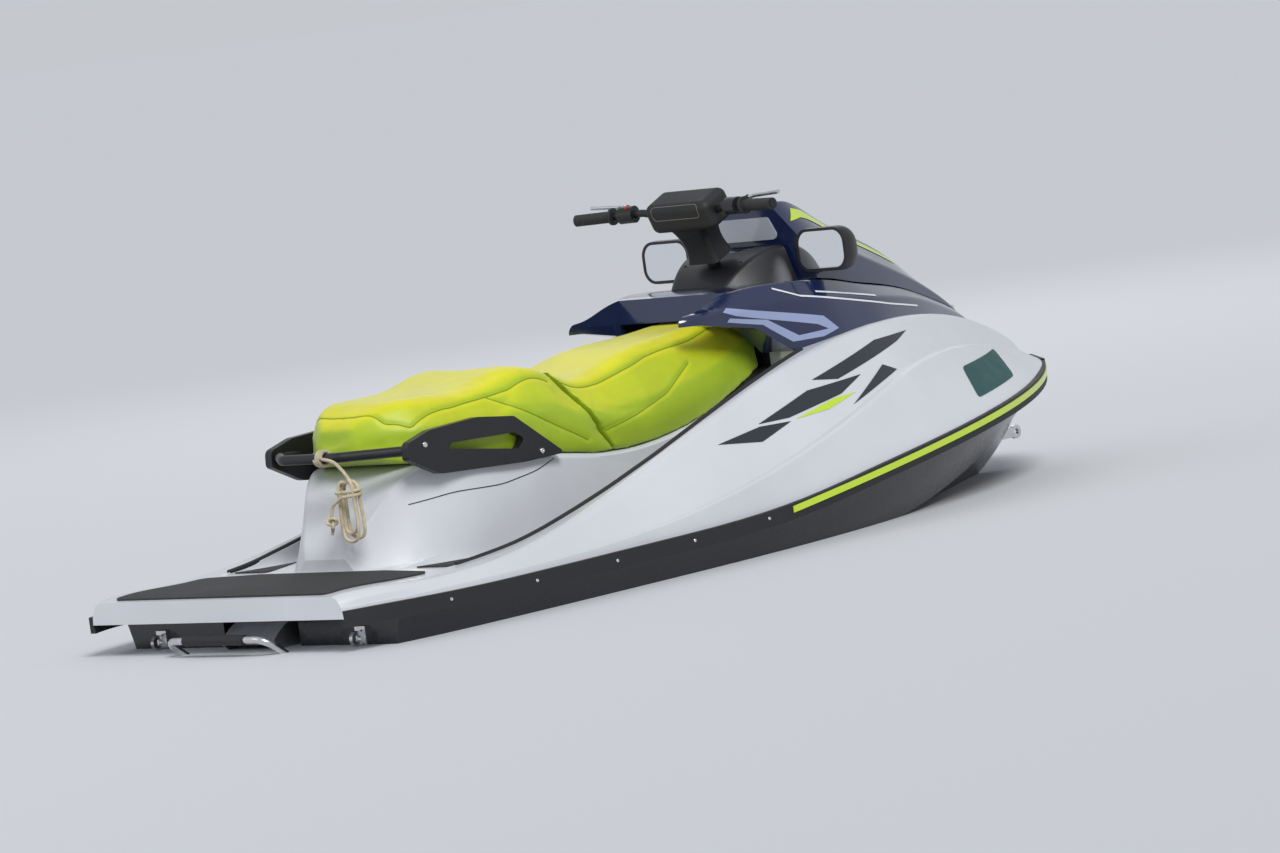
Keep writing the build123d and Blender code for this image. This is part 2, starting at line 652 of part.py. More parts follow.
with BuildPart() as grip:
    add(rod(*on_column([along_bar(GRIP[0]), along_bar(GRIP[1])]), GRIP_R))
    add(rod(*on_column([along_bar(GRIP[0]), along_bar(GRIP[0] + GRIP_COLLAR)]), GRIP_R + GRIP_COLLAR))
    add(bar, mode=Mode.SUBTRACT)
write(grip.part, "grip_port")
write(mirrored(grip.part), "grip_starboard")
pod_in = along_bar(POD[0])
pod_out = along_bar(POD[1])
px, py, pz = pod_out
with BuildPart() as pod:
    add(rod(*on_column([pod_in, pod_out]), POD_R))
    add(rod(*on_column([(px + 14, py - 14, pz), (px + 44, py + 6, pz + 2)]), LEVER_R + 2))
    add(bar, mode=Mode.SUBTRACT)
lever_run = [(px + 34, py - 2, pz + 1), (px + 46, py + 22, pz + 3), LEVER_TIP]
lever = tube(on_column(lever_run), LEVER_R, 12) - pod.part
write(pod.part, "switch_pod_port")
write(mirrored(pod.part), "switch_pod_starboard")
write(lever, "reverse_lever")
write(mirrored(lever), "throttle_lever")

# Rub rail round the gunwale, with a bright strip let into it forward, and a bumper over the nose
filler_sections = []
for x, gy, gz, *_ in STATIONS:
    edge = [(gy - 1, gz - 1), (gy - 1, gz + 1)]
    filler_sections.append(outline(across(x), both_sides(edge), 0))
seam_filler = lofted(filler_sections)


def rail_loft(near, far, low, high, first):
    """A strip along the gunwale from a station on, between two distances out from it and two heights."""
    return lofted([outline(across(x), [(gy + near, gz + low), (gy + far, gz + low), (gy + far, gz + high),
                                       (gy + near, gz + high)], 0) for x, gy, gz, *_ in STATIONS[first:-1]])


stripe = rail_loft(RAIL_OUT - STRIPE_PROUD, RAIL_OUT + STRIPE_PROUD, *STRIPE_Z, STRIPE_FROM)
rail = rail_loft(-RAIL_IN, RAIL_OUT, -RAIL_HIGH, RAIL_HIGH, 0) - hull_blank - deck_blank
rail = rail - seam_filler - stripe
write(rail, "rub_rail_port")
write(mirrored(rail), "rub_rail_starboard")
write(stripe, "rail_stripe_port")
write(mirrored(stripe), "rail_stripe_starboard")
nose_y, nose_z = STATIONS[-2][1], STATIONS[-2][2]
NOSE = [(STATIONS[-2][0] + SEAM, nose_y + RAIL_OUT), (BOW_X - 12, 62), (BOW_X, 34)]
with BuildPart() as bumper:
    extrude(outline(Plane.XY.offset(200), [(x, -y) for x, y in NOSE] + [(x, y) for x, y in reversed(NOSE)],
                    [0, 30, 20, 20, 30, 0]), amount=200)
    add(prism(side(0), [(NOSE[0][0], nose_z - RAIL_HIGH), (BOW_X, nose_z - 8), (BOW_X, nose_z + 36),
                        (NOSE[0][0], nose_z + RAIL_HIGH + 4)], [0, 12, 12, 0], 500), mode=Mode.INTERSECT)
    add(hull_blank, mode=Mode.SUBTRACT)
    add(deck_blank, mode=Mode.SUBTRACT)
    add(seam_filler, mode=Mode.SUBTRACT)
write(bumper.part, "bow_bumper")

# Sponsons: fins bolted along the chines aft
SPONSON = [
    # x, chine y, chine z, how far the fin stands out
    (-1450, 515, -76, 10),
    (-1380, 516, -76, 26),
    (-1050, 533, -77, 30),
    (-820, 536, -76, 24),
    (-740, 537, -76, 6),
]
fin_sections = []
for x, y, z, out in SPONSON:
    fin = [(y - 40, z + 2), (y + out, z - 4), (y + 0.8 * out, z + 20), (y - 10, z + 60)]
    fin_sections.append(outline(across(x), fin, 0))
sponson = lofted(fin_sections) - hull_blank
write(sponson, "sponson_port")
write(mirrored(sponson), "sponson_starboard")

# Mats: one in each footwell and one on the boarding platform
mat_sections = []
for x, inner, low, _, z in FOOTWELL[:4]:
    near = inner + MAT_IN[0]
    far = low - MAT_IN[1]
    under = z - MAT_DIP
    mat_sections.append(outline(across(x), [(near, under), (far, under), (far, z + MAT), (near, z + MAT)], 0))
mat = lofted(mat_sections) & box(MAT_X, (0, FAR), (0, FAR)) & channel - pedestal
write(mat, "footwell_mat_port")
write(mirrored(mat), "footwell_mat_starboard")
slab_sections = []
for x, *_, shoulder_z in STATIONS:
    slab_sections.append(outline(across(x), both_sides([(460, 100), (460, shoulder_z + MAT)]), 0))
platform = prism(Plane.XY, [(DECK_END + 20, -430), (-1290, -455), (-1256, -250), (-1256, 250), (-1290, 455),
                            (DECK_END + 20, 430)], 26, FAR) & lofted(slab_sections)
write(platform - deck_blank - pedestal - channel - mirrored(channel), "platform_mat")

# Grab rail: a swept blade each side of the rear cushion, joined by a hoop behind it
BLADE_LINE = [
    # x, z and corner radius of the blade's outline, round from its rear foot
    (-1150, 438, 14),
    (-1146, 482, 20),
    (-1060, 506, 60),
    (-880, 514, 60),
    (-742, 496, 30),
    (-566, 368, 6),
    (-720, 366, 60),
    (-1040, 384, 60),
]
WINDOW_LINE = [
    # x, z and corner radius of the hole in the blade
    (-1000, 446, 4),
    (-985, 460, 6),
    (-750, 452, 10),
    (-714, 430, 8),
    (-742, 406, 12),
]
HOOP_HALF = [(-1040, BLADE_Y + BLADE / 2, 458), (-1118, BLADE_Y, 460), (HOOP_X, 108, HOOP_Z)]
blade_plane = side(-BLADE_Y)
blade = prism(blade_plane, [(x, z) for x, z, _ in BLADE_LINE], [r for *_, r in BLADE_LINE], BLADE, both=False)
window = prism(blade_plane, [(x, z) for x, z, _ in WINDOW_LINE], [r for *_, r in WINDOW_LINE], 3 * BLADE)
hoop = tube([(x, -y, z) for x, y, z in HOOP_HALF] + HOOP_HALF[::-1], HOOP_R, HOOP_BEND)
with BuildPart() as grab_rail:
    add(blade - window)
    add(mirrored(blade - window))
    add(hoop)
    add(pedestal, mode=Mode.SUBTRACT)
    add(seat_rear, mode=Mode.SUBTRACT)
    add(seat_front, mode=Mode.SUBTRACT)
write(grab_rail.part, "grab_rail")

# Mooring line: a hitch round the hoop, a short free stretch, and the rest folded into a hank
hitch_ends = (HOOP_X, HITCH_Y[0], HOOP_Z), (HOOP_X, HITCH_Y[1], HOOP_Z)
hitch = rod(*hitch_ends, HOOP_R + 2 * ROPE_R) - rod(*hitch_ends, HOOP_R + FIT)
write(hitch, "mooring_hitch")
LINE = [
    # dx, dy, dz from where the line leaves the hitch
    (0, 0, 0),
    (-5, -28, -2),
    (-7, -58, -10),
    (-7, -81, -28),
    (-6, -93, -54),
]
line_start = Vector(HOOP_X - HOOP_R - ROPE_R, HITCH_Y[0], HOOP_Z)
line_points = [line_start + Vector(*step) for step in LINE]
line_runs = [b - a for a, b in zip(line_points, line_points[1:])]
line_radii = [0.45 * min(a.length, b.length) / tan(radians(a.get_angle(b) / 2))
              for a, b in zip(line_runs, line_runs[1:])]
with BuildPart() as line:
    with BuildLine() as line_path:
        FilletPolyline(*line_points, radius=line_radii)
    with BuildSketch(Plane(origin=line_path.line @ 0, z_dir=line_path.line % 0)):
        Circle(ROPE_R)
    sweep(path=line_path.line)
    add(hitch, mode=Mode.SUBTRACT)
write(line.part, "mooring_line")
print("mooring line radii", [round(r) for r in line_radii])
with BuildPart() as hank:
    with Locations(line_points[-1]):
        Box(*HANK, align=(Align.CENTER, Align.CENTER, Align.MAX))
    fillet(hank.edges().filter_by(Axis.X), radius=HANK_ROUND[0])
    rear, *_, front = hank.faces().sort_by(Axis.X)
    fillet(rear.edges() + front.edges(), radius=HANK_ROUND[1])
write(hank.part - line.part, "mooring_hank")

# Jet pump: housing with outlet cone, stator vanes round a hub, ears for the nozzle, bosses for the bucket
pump_axis = Plane(origin=(0, 0, PUMP_Z), x_dir=(1, 0, 0), z_dir=(0, -1, 0))


def turned(points):
    """A body of revolution about the pump's axis, from (x, radius) points."""
    with BuildPart() as made:
        with BuildSketch(pump_axis):
            with BuildLine():
                Polyline(*points, close=True)
            make_face()
        revolve(axis=Axis((0, 0, PUMP_Z), (1, 0, 0)))
    return made.part


pump_x = BULKHEAD_X - SEAM
outer_r = PUMP_BORE + PUMP_WALL
flange_r, flange_thick = FLANGE
shell = turned([
    (pump_x, PUMP_BORE), (pump_x, flange_r),
    (pump_x - flange_thick, flange_r), (pump_x - flange_thick, outer_r),
    (CONE_X, outer_r), (OUTLET_X, OUTLET_R + OUTLET_WALL),
    (OUTLET_X, OUTLET_R), (CONE_X, PUMP_BORE),
])
room = turned([
    (pump_x + 1, 0), (pump_x + 1, PUMP_BORE), (CONE_X, PUMP_BORE), (OUTLET_X, OUTLET_R),
    (OUTLET_X - FAR, OUTLET_R), (OUTLET_X - FAR, 0),
])
stator_x = IMPELLER_X[0] - RUN
hub_end = CONE_X - HUB_TAPER
hub = turned([(stator_x, 0), (stator_x, HUB_R), (CONE_X, HUB_R), (hub_end, HUB_TIP_R), (hub_end, 0)])
vane_front = stator_x - VANE_BACK
ear_z = BELL_R + NOZZLE_WALL + 5


def nozzle_rod(start, end, radius):
    """A bar on the steering nozzle's axis between two heights from the pump's axis."""
    return rod((NOZZLE_PIVOT_X, 0, PUMP_Z + start), (NOZZLE_PIVOT_X, 0, PUMP_Z + end), radius)


def bucket_rod(start, end, radius):
    """A bar on the reverse bucket's axis between two places across the craft."""
    pivot_x, pivot_z = BUCKET_PIVOT
    return rod((pivot_x, start, pivot_z), (pivot_x, end, pivot_z), radius)


with BuildPart() as pump:
    add(shell)
    for turn in range(VANES):
        with Locations(Location((0, 0, PUMP_Z), (360 / VANES * turn, 0, 0))):
            with Locations(((vane_front + CONE_X) / 2, 0, HUB_R - 2)):
                Box(vane_front - CONE_X, VANE, PUMP_BORE - HUB_R + 4,
                    align=(Align.CENTER, Align.CENTER, Align.MIN))
    add(hub)
    add(rod((stator_x + 1, 0, PUMP_Z), (stator_x - 50, 0, PUMP_Z), SHAFT_R + FIT), mode=Mode.SUBTRACT)
    for up in (-1, 1):
        ear_low, ear_high = sorted((PUMP_Z + up * ear_z, PUMP_Z + up * (ear_z + EAR)))
        web_low, web_high = sorted((PUMP_Z + up * WEB_FOOT, PUMP_Z + up * ear_z))
        add(box((NOZZLE_PIVOT_X - 14, CONE_X + 20), (-20, 20), (ear_low, ear_high)))
        add(box((OUTLET_X + 14, CONE_X + 20), (-6, 6), (web_low, web_high)) - room)
        add(nozzle_rod(up * (ear_z - 4), up * (ear_z + EAR + 5), PIN_R + FIT), mode=Mode.SUBTRACT)
        add(bucket_rod(up * WEB_FOOT, up * (BUCKET_Y - 3), BOSS_R) - room)
        add(bucket_rod(up * 90, up * (BUCKET_Y + BUCKET_WALL + 6), PIN_R))
write(pump.part, "pump_housing")

# Impeller: a hub and twisted blades on the drive shaft
rear_x, front_x = IMPELLER_X
blade_root = HUB_R - 12
blade_tip = PUMP_BORE - BLADE_GAP


def blade_section(share, start):
    """A blade's cross-section at a share of the impeller's length, turned on from its start angle."""
    x = rear_x + BLADE_IN + share * (front_x - rear_x - 2 * BLADE_IN)
    angle = radians(BLADE_TWIST * share + start)
    slice_plane = Plane(origin=(x, 0, PUMP_Z), x_dir=(0, cos(angle), sin(angle)), z_dir=(1, 0, 0))
    with BuildSketch(slice_plane) as face:
        with Locations(((blade_root + blade_tip) / 2, 0)):
            Rectangle(blade_tip - blade_root, BLADE_THICK)
    return face.sketch


with BuildPart() as impeller:
    add(turned([(rear_x, SHAFT_R + FIT), (rear_x, HUB_R), (front_x, HUB_R - 8), (front_x, SHAFT_R + FIT)]))
    for turn in range(BLADES):
        add(lofted([blade_section(step / 3, 360 / BLADES * turn) for step in range(4)]))
write(impeller.part, "impeller")
shaft = rod((stator_x - 46, 0, PUMP_Z), (ENGINE_X - ENGINE[0] / 2 - 5, 0, PUMP_Z), SHAFT_R)
write(shaft, "drive_shaft")

# Steering nozzle: a bell over the outlet, tapering aft, on pins through the housing's ears
taper_x = NOZZLE_PIVOT_X - BELL_LONG
with BuildPart() as nozzle:
    add(turned([
        (NOZZLE_FRONT_X, BELL_R), (NOZZLE_FRONT_X, BELL_R + NOZZLE_WALL), (taper_x, BELL_R + NOZZLE_WALL),
        (NOZZLE_END_X, NOZZLE_END_R + NOZZLE_WALL), (NOZZLE_END_X, NOZZLE_END_R), (taper_x, BELL_R),
    ]))
    for up in (-1, 1):
        add(nozzle_rod(up * (BELL_R + 2), up * (ear_z + EAR), PIN_R))
write(nozzle.part, "steering_nozzle")

# Reverse bucket: a curved scoop between two side plates that swing on the housing's pins
bucket_outer = BUCKET_R + BUCKET_WALL
bucket_outside = BUCKET_Y + BUCKET_WALL
pivot_x, pivot_z = BUCKET_PIVOT
rim_low, rim_middle, rim_high = [
    (pivot_x - bucket_outer * cos(radians(angle)), pivot_z + bucket_outer * sin(radians(angle)))
    for angle in (BUCKET_ARC[0], sum(BUCKET_ARC) / 2, BUCKET_ARC[1])
]
with BuildPart() as bucket:
    with BuildSketch(side(0)):
        with BuildLine():
            ThreePointArc(rim_low, rim_middle, rim_high)
            Line(rim_high, BUCKET_PIVOT)
            Line(BUCKET_PIVOT, rim_low)
        make_face()
    extrude(amount=bucket_outside, both=True)
    for up in (-1, 1):
        add(bucket_rod(up * BUCKET_Y, up * bucket_outside, BOSS_R + 8))
    with BuildSketch(side(0)):
        with Locations(BUCKET_PIVOT):
            Circle(BUCKET_R)
    extrude(amount=BUCKET_Y, both=True, mode=Mode.SUBTRACT)
    for up in (-1, 1):
        add(bucket_rod(up * (BUCKET_Y - 1), up * (bucket_outside + 1), PIN_R + FIT), mode=Mode.SUBTRACT)
write(bucket.part, "reverse_bucket")

# Plate under the pump, and the grate across the intake
plate_half = RECESS_Y - INSET
with BuildPart() as plate:
    add(box(PLATE_X, (-plate_half, plate_half), PLATE_Z))
    fillet(plate.edges().filter_by(Axis.Z).sort_by(Axis.X)[:2], radius=30)
    lip = box((PLATE_X[0] + 40, PLATE_X[1]), (plate_half - PLATE_LIP[0], plate_half),
              (PLATE_Z[1] - 1, PLATE_Z[1] + PLATE_LIP[1]))
    add(lip)
    add(mirrored(lip))
write(plate.part, "ride_plate")
with BuildPart() as grate:
    for y in GRATE_Y:
        add(box((-1090, -600), (y - GRATE_BAR / 2, y + GRATE_BAR / 2), GRATE_Z))
    add(way.part, mode=Mode.INTERSECT)
write(grate.part, "intake_grate")

# Boarding step: a folding hoop on two brackets on the transom
hinge_x, hinge_z = STEP_HINGE
tread_x, tread_z = STEP_TREAD


def step_rod(start, end, radius):
    """A bar on the step's hinge axis between two places across the craft."""
    return rod((hinge_x, start, hinge_z), (hinge_x, end, hinge_z), radius)


with BuildPart() as step:
    add(tube([(hinge_x, -STEP_Y, hinge_z), (tread_x, -STEP_Y, tread_z), (tread_x, STEP_Y, tread_z),
              (hinge_x, STEP_Y, hinge_z)], STEP_R, STEP_BEND))
    for y in (-STEP_Y, STEP_Y):
        add(step_rod(y - STEP_EYE_Y, y + STEP_EYE_Y, STEP_EYE_R))
    for y in (-STEP_Y, STEP_Y):
        add(step_rod(y - STEP_EYE_Y - 8, y + STEP_EYE_Y + 8, STEP_PIN_R + FIT), mode=Mode.SUBTRACT)
write(step.part, "boarding_step")
with BuildPart() as tread:
    add(rod((tread_x, -120, tread_z), (tread_x, 120, tread_z), STEP_R + 4))
    add(step.part, mode=Mode.SUBTRACT)
write(tread.part, "step_tread")
with BuildPart() as bracket:
    ear_in = STEP_EYE_Y + 5
    foot_x = TRANSOM_X - SEAM
    for out in (-1, 1):
        centre = STEP_Y + out * (ear_in + STEP_EAR / 2)
        inner_y = centre - STEP_EAR / 2
        outer_y = centre + STEP_EAR / 2
        add(box((hinge_x, foot_x), (inner_y, outer_y), (hinge_z - STEP_EAR_R, hinge_z + STEP_EAR_R)))
        add(step_rod(inner_y, outer_y, STEP_EAR_R))
    add(box((foot_x - 5, foot_x), (STEP_Y - 32, STEP_Y + 32), (hinge_z - 26, hinge_z + 26)))
    add(step_rod(STEP_Y - ear_in - STEP_EAR, STEP_Y + ear_in + STEP_EAR, STEP_PIN_R))
write(bracket.part, "step_bracket_port")
write(mirrored(bracket.part), "step_bracket_starboard")

# Tow eye at the bow, lashing eyes and drain plugs at the stern
eye_outer = EYE_R + EYE_WALL
with BuildPart() as bow_eye:
    with BuildSketch(side(0)):
        with Locations(BOW_EYE):
            Circle(eye_outer)
            with Locations((-40, 0)):
                Rectangle(80, 1.4 * eye_outer)
            Circle(EYE_R, mode=Mode.SUBTRACT)
    extrude(amount=EYE_THICK / 2, both=True)
    add(hull_blank, mode=Mode.SUBTRACT)
write(bow_eye.part, "bow_eye")
with BuildPart() as stern_eye:
    with BuildSketch(side(STERN_EYE[1])):
        with Locations((STERN_EYE[0], STERN_EYE[2])):
            Circle(eye_outer)
            Circle(EYE_R, mode=Mode.SUBTRACT)
    extrude(amount=EYE_THICK / 2, both=True)
    add(box((STERN_EYE[0] + EYE_R + 5, TRANSOM_X - SEAM), (STERN_EYE[1] - 20, STERN_EYE[1] + 20),
            (STERN_EYE[2] - 30, STERN_EYE[2] + 30)))
write(stern_eye.part, "stern_eye_port")
write(mirrored(stern_eye.part), "stern_eye_starboard")
plug_y, plug_z = PLUG_AT
plug = rod((TRANSOM_X - SEAM, plug_y, plug_z), (TRANSOM_X - PLUG_LONG, plug_y, plug_z), PLUG_R)
write(plug, "drain_plug_port")
write(mirrored(plug), "drain_plug_starboard")
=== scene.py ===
"""Looks for a three-seat personal watercraft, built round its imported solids.

Metres, +X forward, +Y to port, +Z up, with the origin at the waterline.
"""

import math

import bmesh
import bpy
from mathutils import Matrix, Vector
from mathutils.bvhtree import BVHTree
from mathutils.geometry import tessellate_polygon
from mathutils.kdtree import KDTree


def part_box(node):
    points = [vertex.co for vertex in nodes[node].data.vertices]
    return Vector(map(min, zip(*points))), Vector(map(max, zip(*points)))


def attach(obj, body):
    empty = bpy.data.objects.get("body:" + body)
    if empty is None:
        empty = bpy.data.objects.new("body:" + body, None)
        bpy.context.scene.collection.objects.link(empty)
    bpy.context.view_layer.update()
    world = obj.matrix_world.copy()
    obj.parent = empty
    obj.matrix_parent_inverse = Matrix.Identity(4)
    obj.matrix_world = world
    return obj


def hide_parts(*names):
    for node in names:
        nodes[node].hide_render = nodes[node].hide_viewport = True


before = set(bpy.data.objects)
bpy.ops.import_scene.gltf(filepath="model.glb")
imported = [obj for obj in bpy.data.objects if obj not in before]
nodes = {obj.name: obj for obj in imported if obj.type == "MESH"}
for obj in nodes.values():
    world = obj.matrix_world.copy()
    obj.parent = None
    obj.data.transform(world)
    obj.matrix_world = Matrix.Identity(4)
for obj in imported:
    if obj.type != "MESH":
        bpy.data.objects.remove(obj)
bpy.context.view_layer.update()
scene = bpy.context.scene
scene.view_settings.view_transform = "Standard"


# Camera: the photograph's angle to the craft, from the starboard quarter, framed close
VIEW_UP = Vector((0.153, -0.039, 0.988))
VIEW_BACK = Vector((-0.704, -0.705, 0.081))
CAMERA_AIM = Vector((0.02, 0.0, 0.36))
CAMERA_FAR = 17.0
CAMERA_LENS = 168.0


def make_camera():
    data = bpy.data.cameras.new("camera")
    data.lens = CAMERA_LENS
    data.clip_end = 200.0
    camera = bpy.data.objects.new("camera", data)
    scene.collection.objects.link(camera)
    back = VIEW_BACK.normalized()
    right = VIEW_UP.cross(back).normalized()
    up = back.cross(right)
    camera.matrix_world = Matrix((right, up, back)).transposed().to_4x4()
    camera.location = CAMERA_AIM + back * CAMERA_FAR
    scene.camera = camera


make_camera()


# Shader helpers, which hand sockets to each other
def new_material(name):
    material = bpy.data.materials.new(name)
    material.use_nodes = True
    tree = material.node_tree
    shader = tree.nodes["Principled BSDF"]
    return material, tree, shader


def place_in_object(tree):
    return tree.nodes.new("ShaderNodeTexCoord").outputs["Object"]


def noise(tree, scale, detail, roughness=0.5):
    where = place_in_object(tree)
    made = tree.nodes.new("ShaderNodeTexNoise")
    made.inputs["Scale"].default_value = scale
    made.inputs["Detail"].default_value = detail
    made.inputs["Roughness"].default_value = roughness
    tree.links.new(where, made.inputs["Vector"])
    return made.outputs["Fac"]


def ramp(tree, source, low, high, start=0.3, end=0.7):
    made = tree.nodes.new("ShaderNodeValToRGB")
    made.color_ramp.elements[0].position = start
    made.color_ramp.elements[1].position = end
    made.color_ramp.elements[0].color = (*low, 1)
    made.color_ramp.elements[1].color = (*high, 1)
    tree.links.new(source, made.inputs["Fac"])
    return made.outputs["Color"]


def bump(tree, shader, height, strength, distance, under=None):
    """Relief on the shader, over an earlier one if that is given."""
    made = tree.nodes.new("ShaderNodeBump")
    made.inputs["Strength"].default_value = strength
    made.inputs["Distance"].default_value = distance
    tree.links.new(height, made.inputs["Height"])
    if under is not None:
        tree.links.new(under, made.inputs["Normal"])
    tree.links.new(made.outputs["Normal"], shader.inputs["Normal"])
    return made.outputs["Normal"]


def span(tree, source, low, high):
    """A value from 0 to 1 brought to the range from low to high."""
    made = tree.nodes.new("ShaderNodeMapRange")
    made.inputs["To Min"].default_value = low
    made.inputs["To Max"].default_value = high
    tree.links.new(source, made.inputs["Value"])
    return made.outputs["Result"]


def worked_out(tree, operation, *values):
    """A Math node's result, from numbers and sockets."""
    made = tree.nodes.new("ShaderNodeMath")
    made.operation = operation
    for socket, value in zip(made.inputs, values):
        if isinstance(value, float):
            socket.default_value = value
        else:
            tree.links.new(value, socket)
    return made.outputs["Value"]


def shaded(color, factor):
    return tuple(min(1.0, c * factor) for c in color)


def tint(tree, shader, source, color, vary):
    """Base colour that wanders by a share of itself to each side."""
    colors = ramp(tree, source, shaded(color, 1 - vary), shaded(color, 1 + vary))
    tree.links.new(colors, shader.inputs["Base Color"])


def roughen(tree, shader, source, low, high):
    tree.links.new(span(tree, source, low, high), shader.inputs["Roughness"])


# Materials
def gelcoat(name, color, vary, gloss, coat):
    """Polished marine gelcoat: slight mottling, fine scratches and a clear coat."""
    material, tree, shader = new_material(name)
    mottle = noise(tree, scale=3.0, detail=4.0)
    tint(tree, shader, mottle, color, vary)
    haze = noise(tree, scale=14.0, detail=8.0, roughness=0.65)
    roughen(tree, shader, haze, gloss * 0.7, gloss * 1.6)
    shader.inputs["Coat Weight"].default_value = coat
    shader.inputs["Coat Roughness"].default_value = 0.12
    peel = noise(tree, scale=240.0, detail=2.0)
    bump(tree, shader, peel, strength=0.03, distance=0.0005)
    return material


def moulded(name, color, rough, grain=420.0, depth=0.25, vary=0.15):
    """Moulded plastic or rubber with a fine leathery grain."""
    material, tree, shader = new_material(name)
    wear = noise(tree, scale=9.0, detail=6.0, roughness=0.6)
    tint(tree, shader, wear, color, vary)
    roughen(tree, shader, wear, rough * 0.8, min(1.0, rough * 1.25))
    pores = noise(tree, scale=grain, detail=2.0)
    bump(tree, shader, pores, strength=depth, distance=0.0006)
    return material


def metal(name, color, rough, vary=0.1):
    """Brushed or cast metal, smeared and gritty by the same share."""
    material, tree, shader = new_material(name)
    shader.inputs["Metallic"].default_value = 1.0
    smear = noise(tree, scale=30.0, detail=6.0, roughness=0.7)
    tint(tree, shader, smear, color, vary)
    roughen(tree, shader, smear, rough * 0.7, rough * 1.5)
    grit = noise(tree, scale=350.0, detail=3.0)
    bump(tree, shader, grit, strength=vary, distance=0.0003)
    return material


def vinyl(name, top, flank):
    """Seat vinyl with a pebbled grain, painted lighter and yellower on top as painted light, darker and
    greener on the flanks as painted shade.
    """
    material, tree, shader = new_material(name)
    facing = tree.nodes.new("ShaderNodeNewGeometry")
    apart = tree.nodes.new("ShaderNodeSeparateXYZ")
    tree.links.new(facing.outputs["Normal"], apart.inputs["Vector"])
    # painted light and shade: the colour follows which way the surface faces, lit yellow where it faces
    # up and shaded green on the flanks
    painted_light_tone = ramp(tree, apart.outputs["Z"], flank, top, start=0.25, end=0.85)
    wear = noise(tree, scale=7.0, detail=6.0, roughness=0.6)
    mix = tree.nodes.new("ShaderNodeMix")
    mix.data_type = "RGBA"
    mix.blend_type = "MULTIPLY"
    mix.inputs["Factor"].default_value = 1.0
    dirt = ramp(tree, wear, (0.86, 0.86, 0.84), (1.0, 1.0, 1.0), start=0.25, end=0.6)
    tree.links.new(painted_light_tone, mix.inputs["A"])
    tree.links.new(dirt, mix.inputs["B"])
    tree.links.new(mix.outputs["Result"], shader.inputs["Base Color"])
    roughen(tree, shader, wear, 0.36, 0.52)
    shader.inputs["Sheen Weight"].default_value = 0.15
    pebble = tree.nodes.new("ShaderNodeTexVoronoi")
    pebble.inputs["Scale"].default_value = 520.0
    tree.links.new(place_in_object(tree), pebble.inputs["Vector"])
    soft = noise(tree, scale=60.0, detail=3.0)
    first = bump(tree, shader, soft, strength=0.12, distance=0.002)
    bump(tree, shader, pebble.outputs["Distance"], strength=0.22, distance=0.0006, under=first)
    return material


def rope_look(name, color):
    """Sun-bleached fibre rope: its strands come from the mesh, its fibres from fine noise."""
    material, tree, shader = new_material(name)
    stain = noise(tree, scale=26.0, detail=6.0, roughness=0.7)
    colors = ramp(tree, stain, shaded(color, 0.62), shaded(color, 1.1), start=0.3, end=0.62)
    tree.links.new(colors, shader.inputs["Base Color"])
    shader.inputs["Roughness"].default_value = 0.9
    shader.inputs["Sheen Weight"].default_value = 0.3
    fibres = noise(tree, scale=1400.0, detail=2.0)
    bump(tree, shader, fibres, strength=0.7, distance=0.0008)
    return material


def ribbed(name, color, axis, pitch, rough, depth):
    """Moulded rubber with parallel ribs across an axis."""
    material = moulded(name, color, rough)
    tree = material.node_tree
    shader = tree.nodes["Principled BSDF"]
    grain = shader.inputs["Normal"].links[0].from_socket
    waves = tree.nodes.new("ShaderNodeTexWave")
    waves.bands_direction = axis
    waves.wave_profile = "SIN"
    waves.inputs["Scale"].default_value = math.pi / (10 * pitch)
    tree.links.new(place_in_object(tree), waves.inputs["Vector"])
    bump(tree, shader, waves.outputs["Fac"], strength=depth, distance=0.003, under=grain)
    return material


# The trough ahead of the seat, where the deck is painted black as painted shade between the seat and the
# shroud
SHADE_HALF_WIDTH = 0.188
SHADE_REAR = 0.16
SHADE_FRONT = 0.43
SHADE_ABOVE = 0.3


def gelcoat_with_painted_shade(name, color, shade_color):
    """Gelcoat painted black in the trough ahead of the seat, as painted shade between the seat and the
    shroud.
    """
    material = gelcoat(name, color, vary=0.04, gloss=0.3, coat=0.4)
    tree = material.node_tree
    shader = tree.nodes["Principled BSDF"]
    plain = shader.inputs["Base Color"].links[0].from_socket
    apart = tree.nodes.new("ShaderNodeSeparateXYZ")
    tree.links.new(place_in_object(tree), apart.inputs["Vector"])
    across = worked_out(tree, "ABSOLUTE", apart.outputs["Y"])
    shade_mask = worked_out(tree, "LESS_THAN", across, SHADE_HALF_WIDTH)
    for axis, operation, limit in (
        ("X", "GREATER_THAN", SHADE_REAR),
        ("X", "LESS_THAN", SHADE_FRONT),
        ("Z", "GREATER_THAN", SHADE_ABOVE),
    ):
        inside = worked_out(tree, operation, apart.outputs[axis], limit)
        shade_mask = worked_out(tree, "MULTIPLY", shade_mask, inside)
    # painted shade: black mixed into the deck's colour inside the trough
    mix = tree.nodes.new("ShaderNodeMix")
    mix.data_type = "RGBA"
    tree.links.new(shade_mask, mix.inputs["Factor"])
    tree.links.new(plain, mix.inputs["A"])
    mix.inputs["B"].default_value = (*shade_color, 1)
    tree.links.new(mix.outputs["Result"], shader.inputs["Base Color"])
    return material


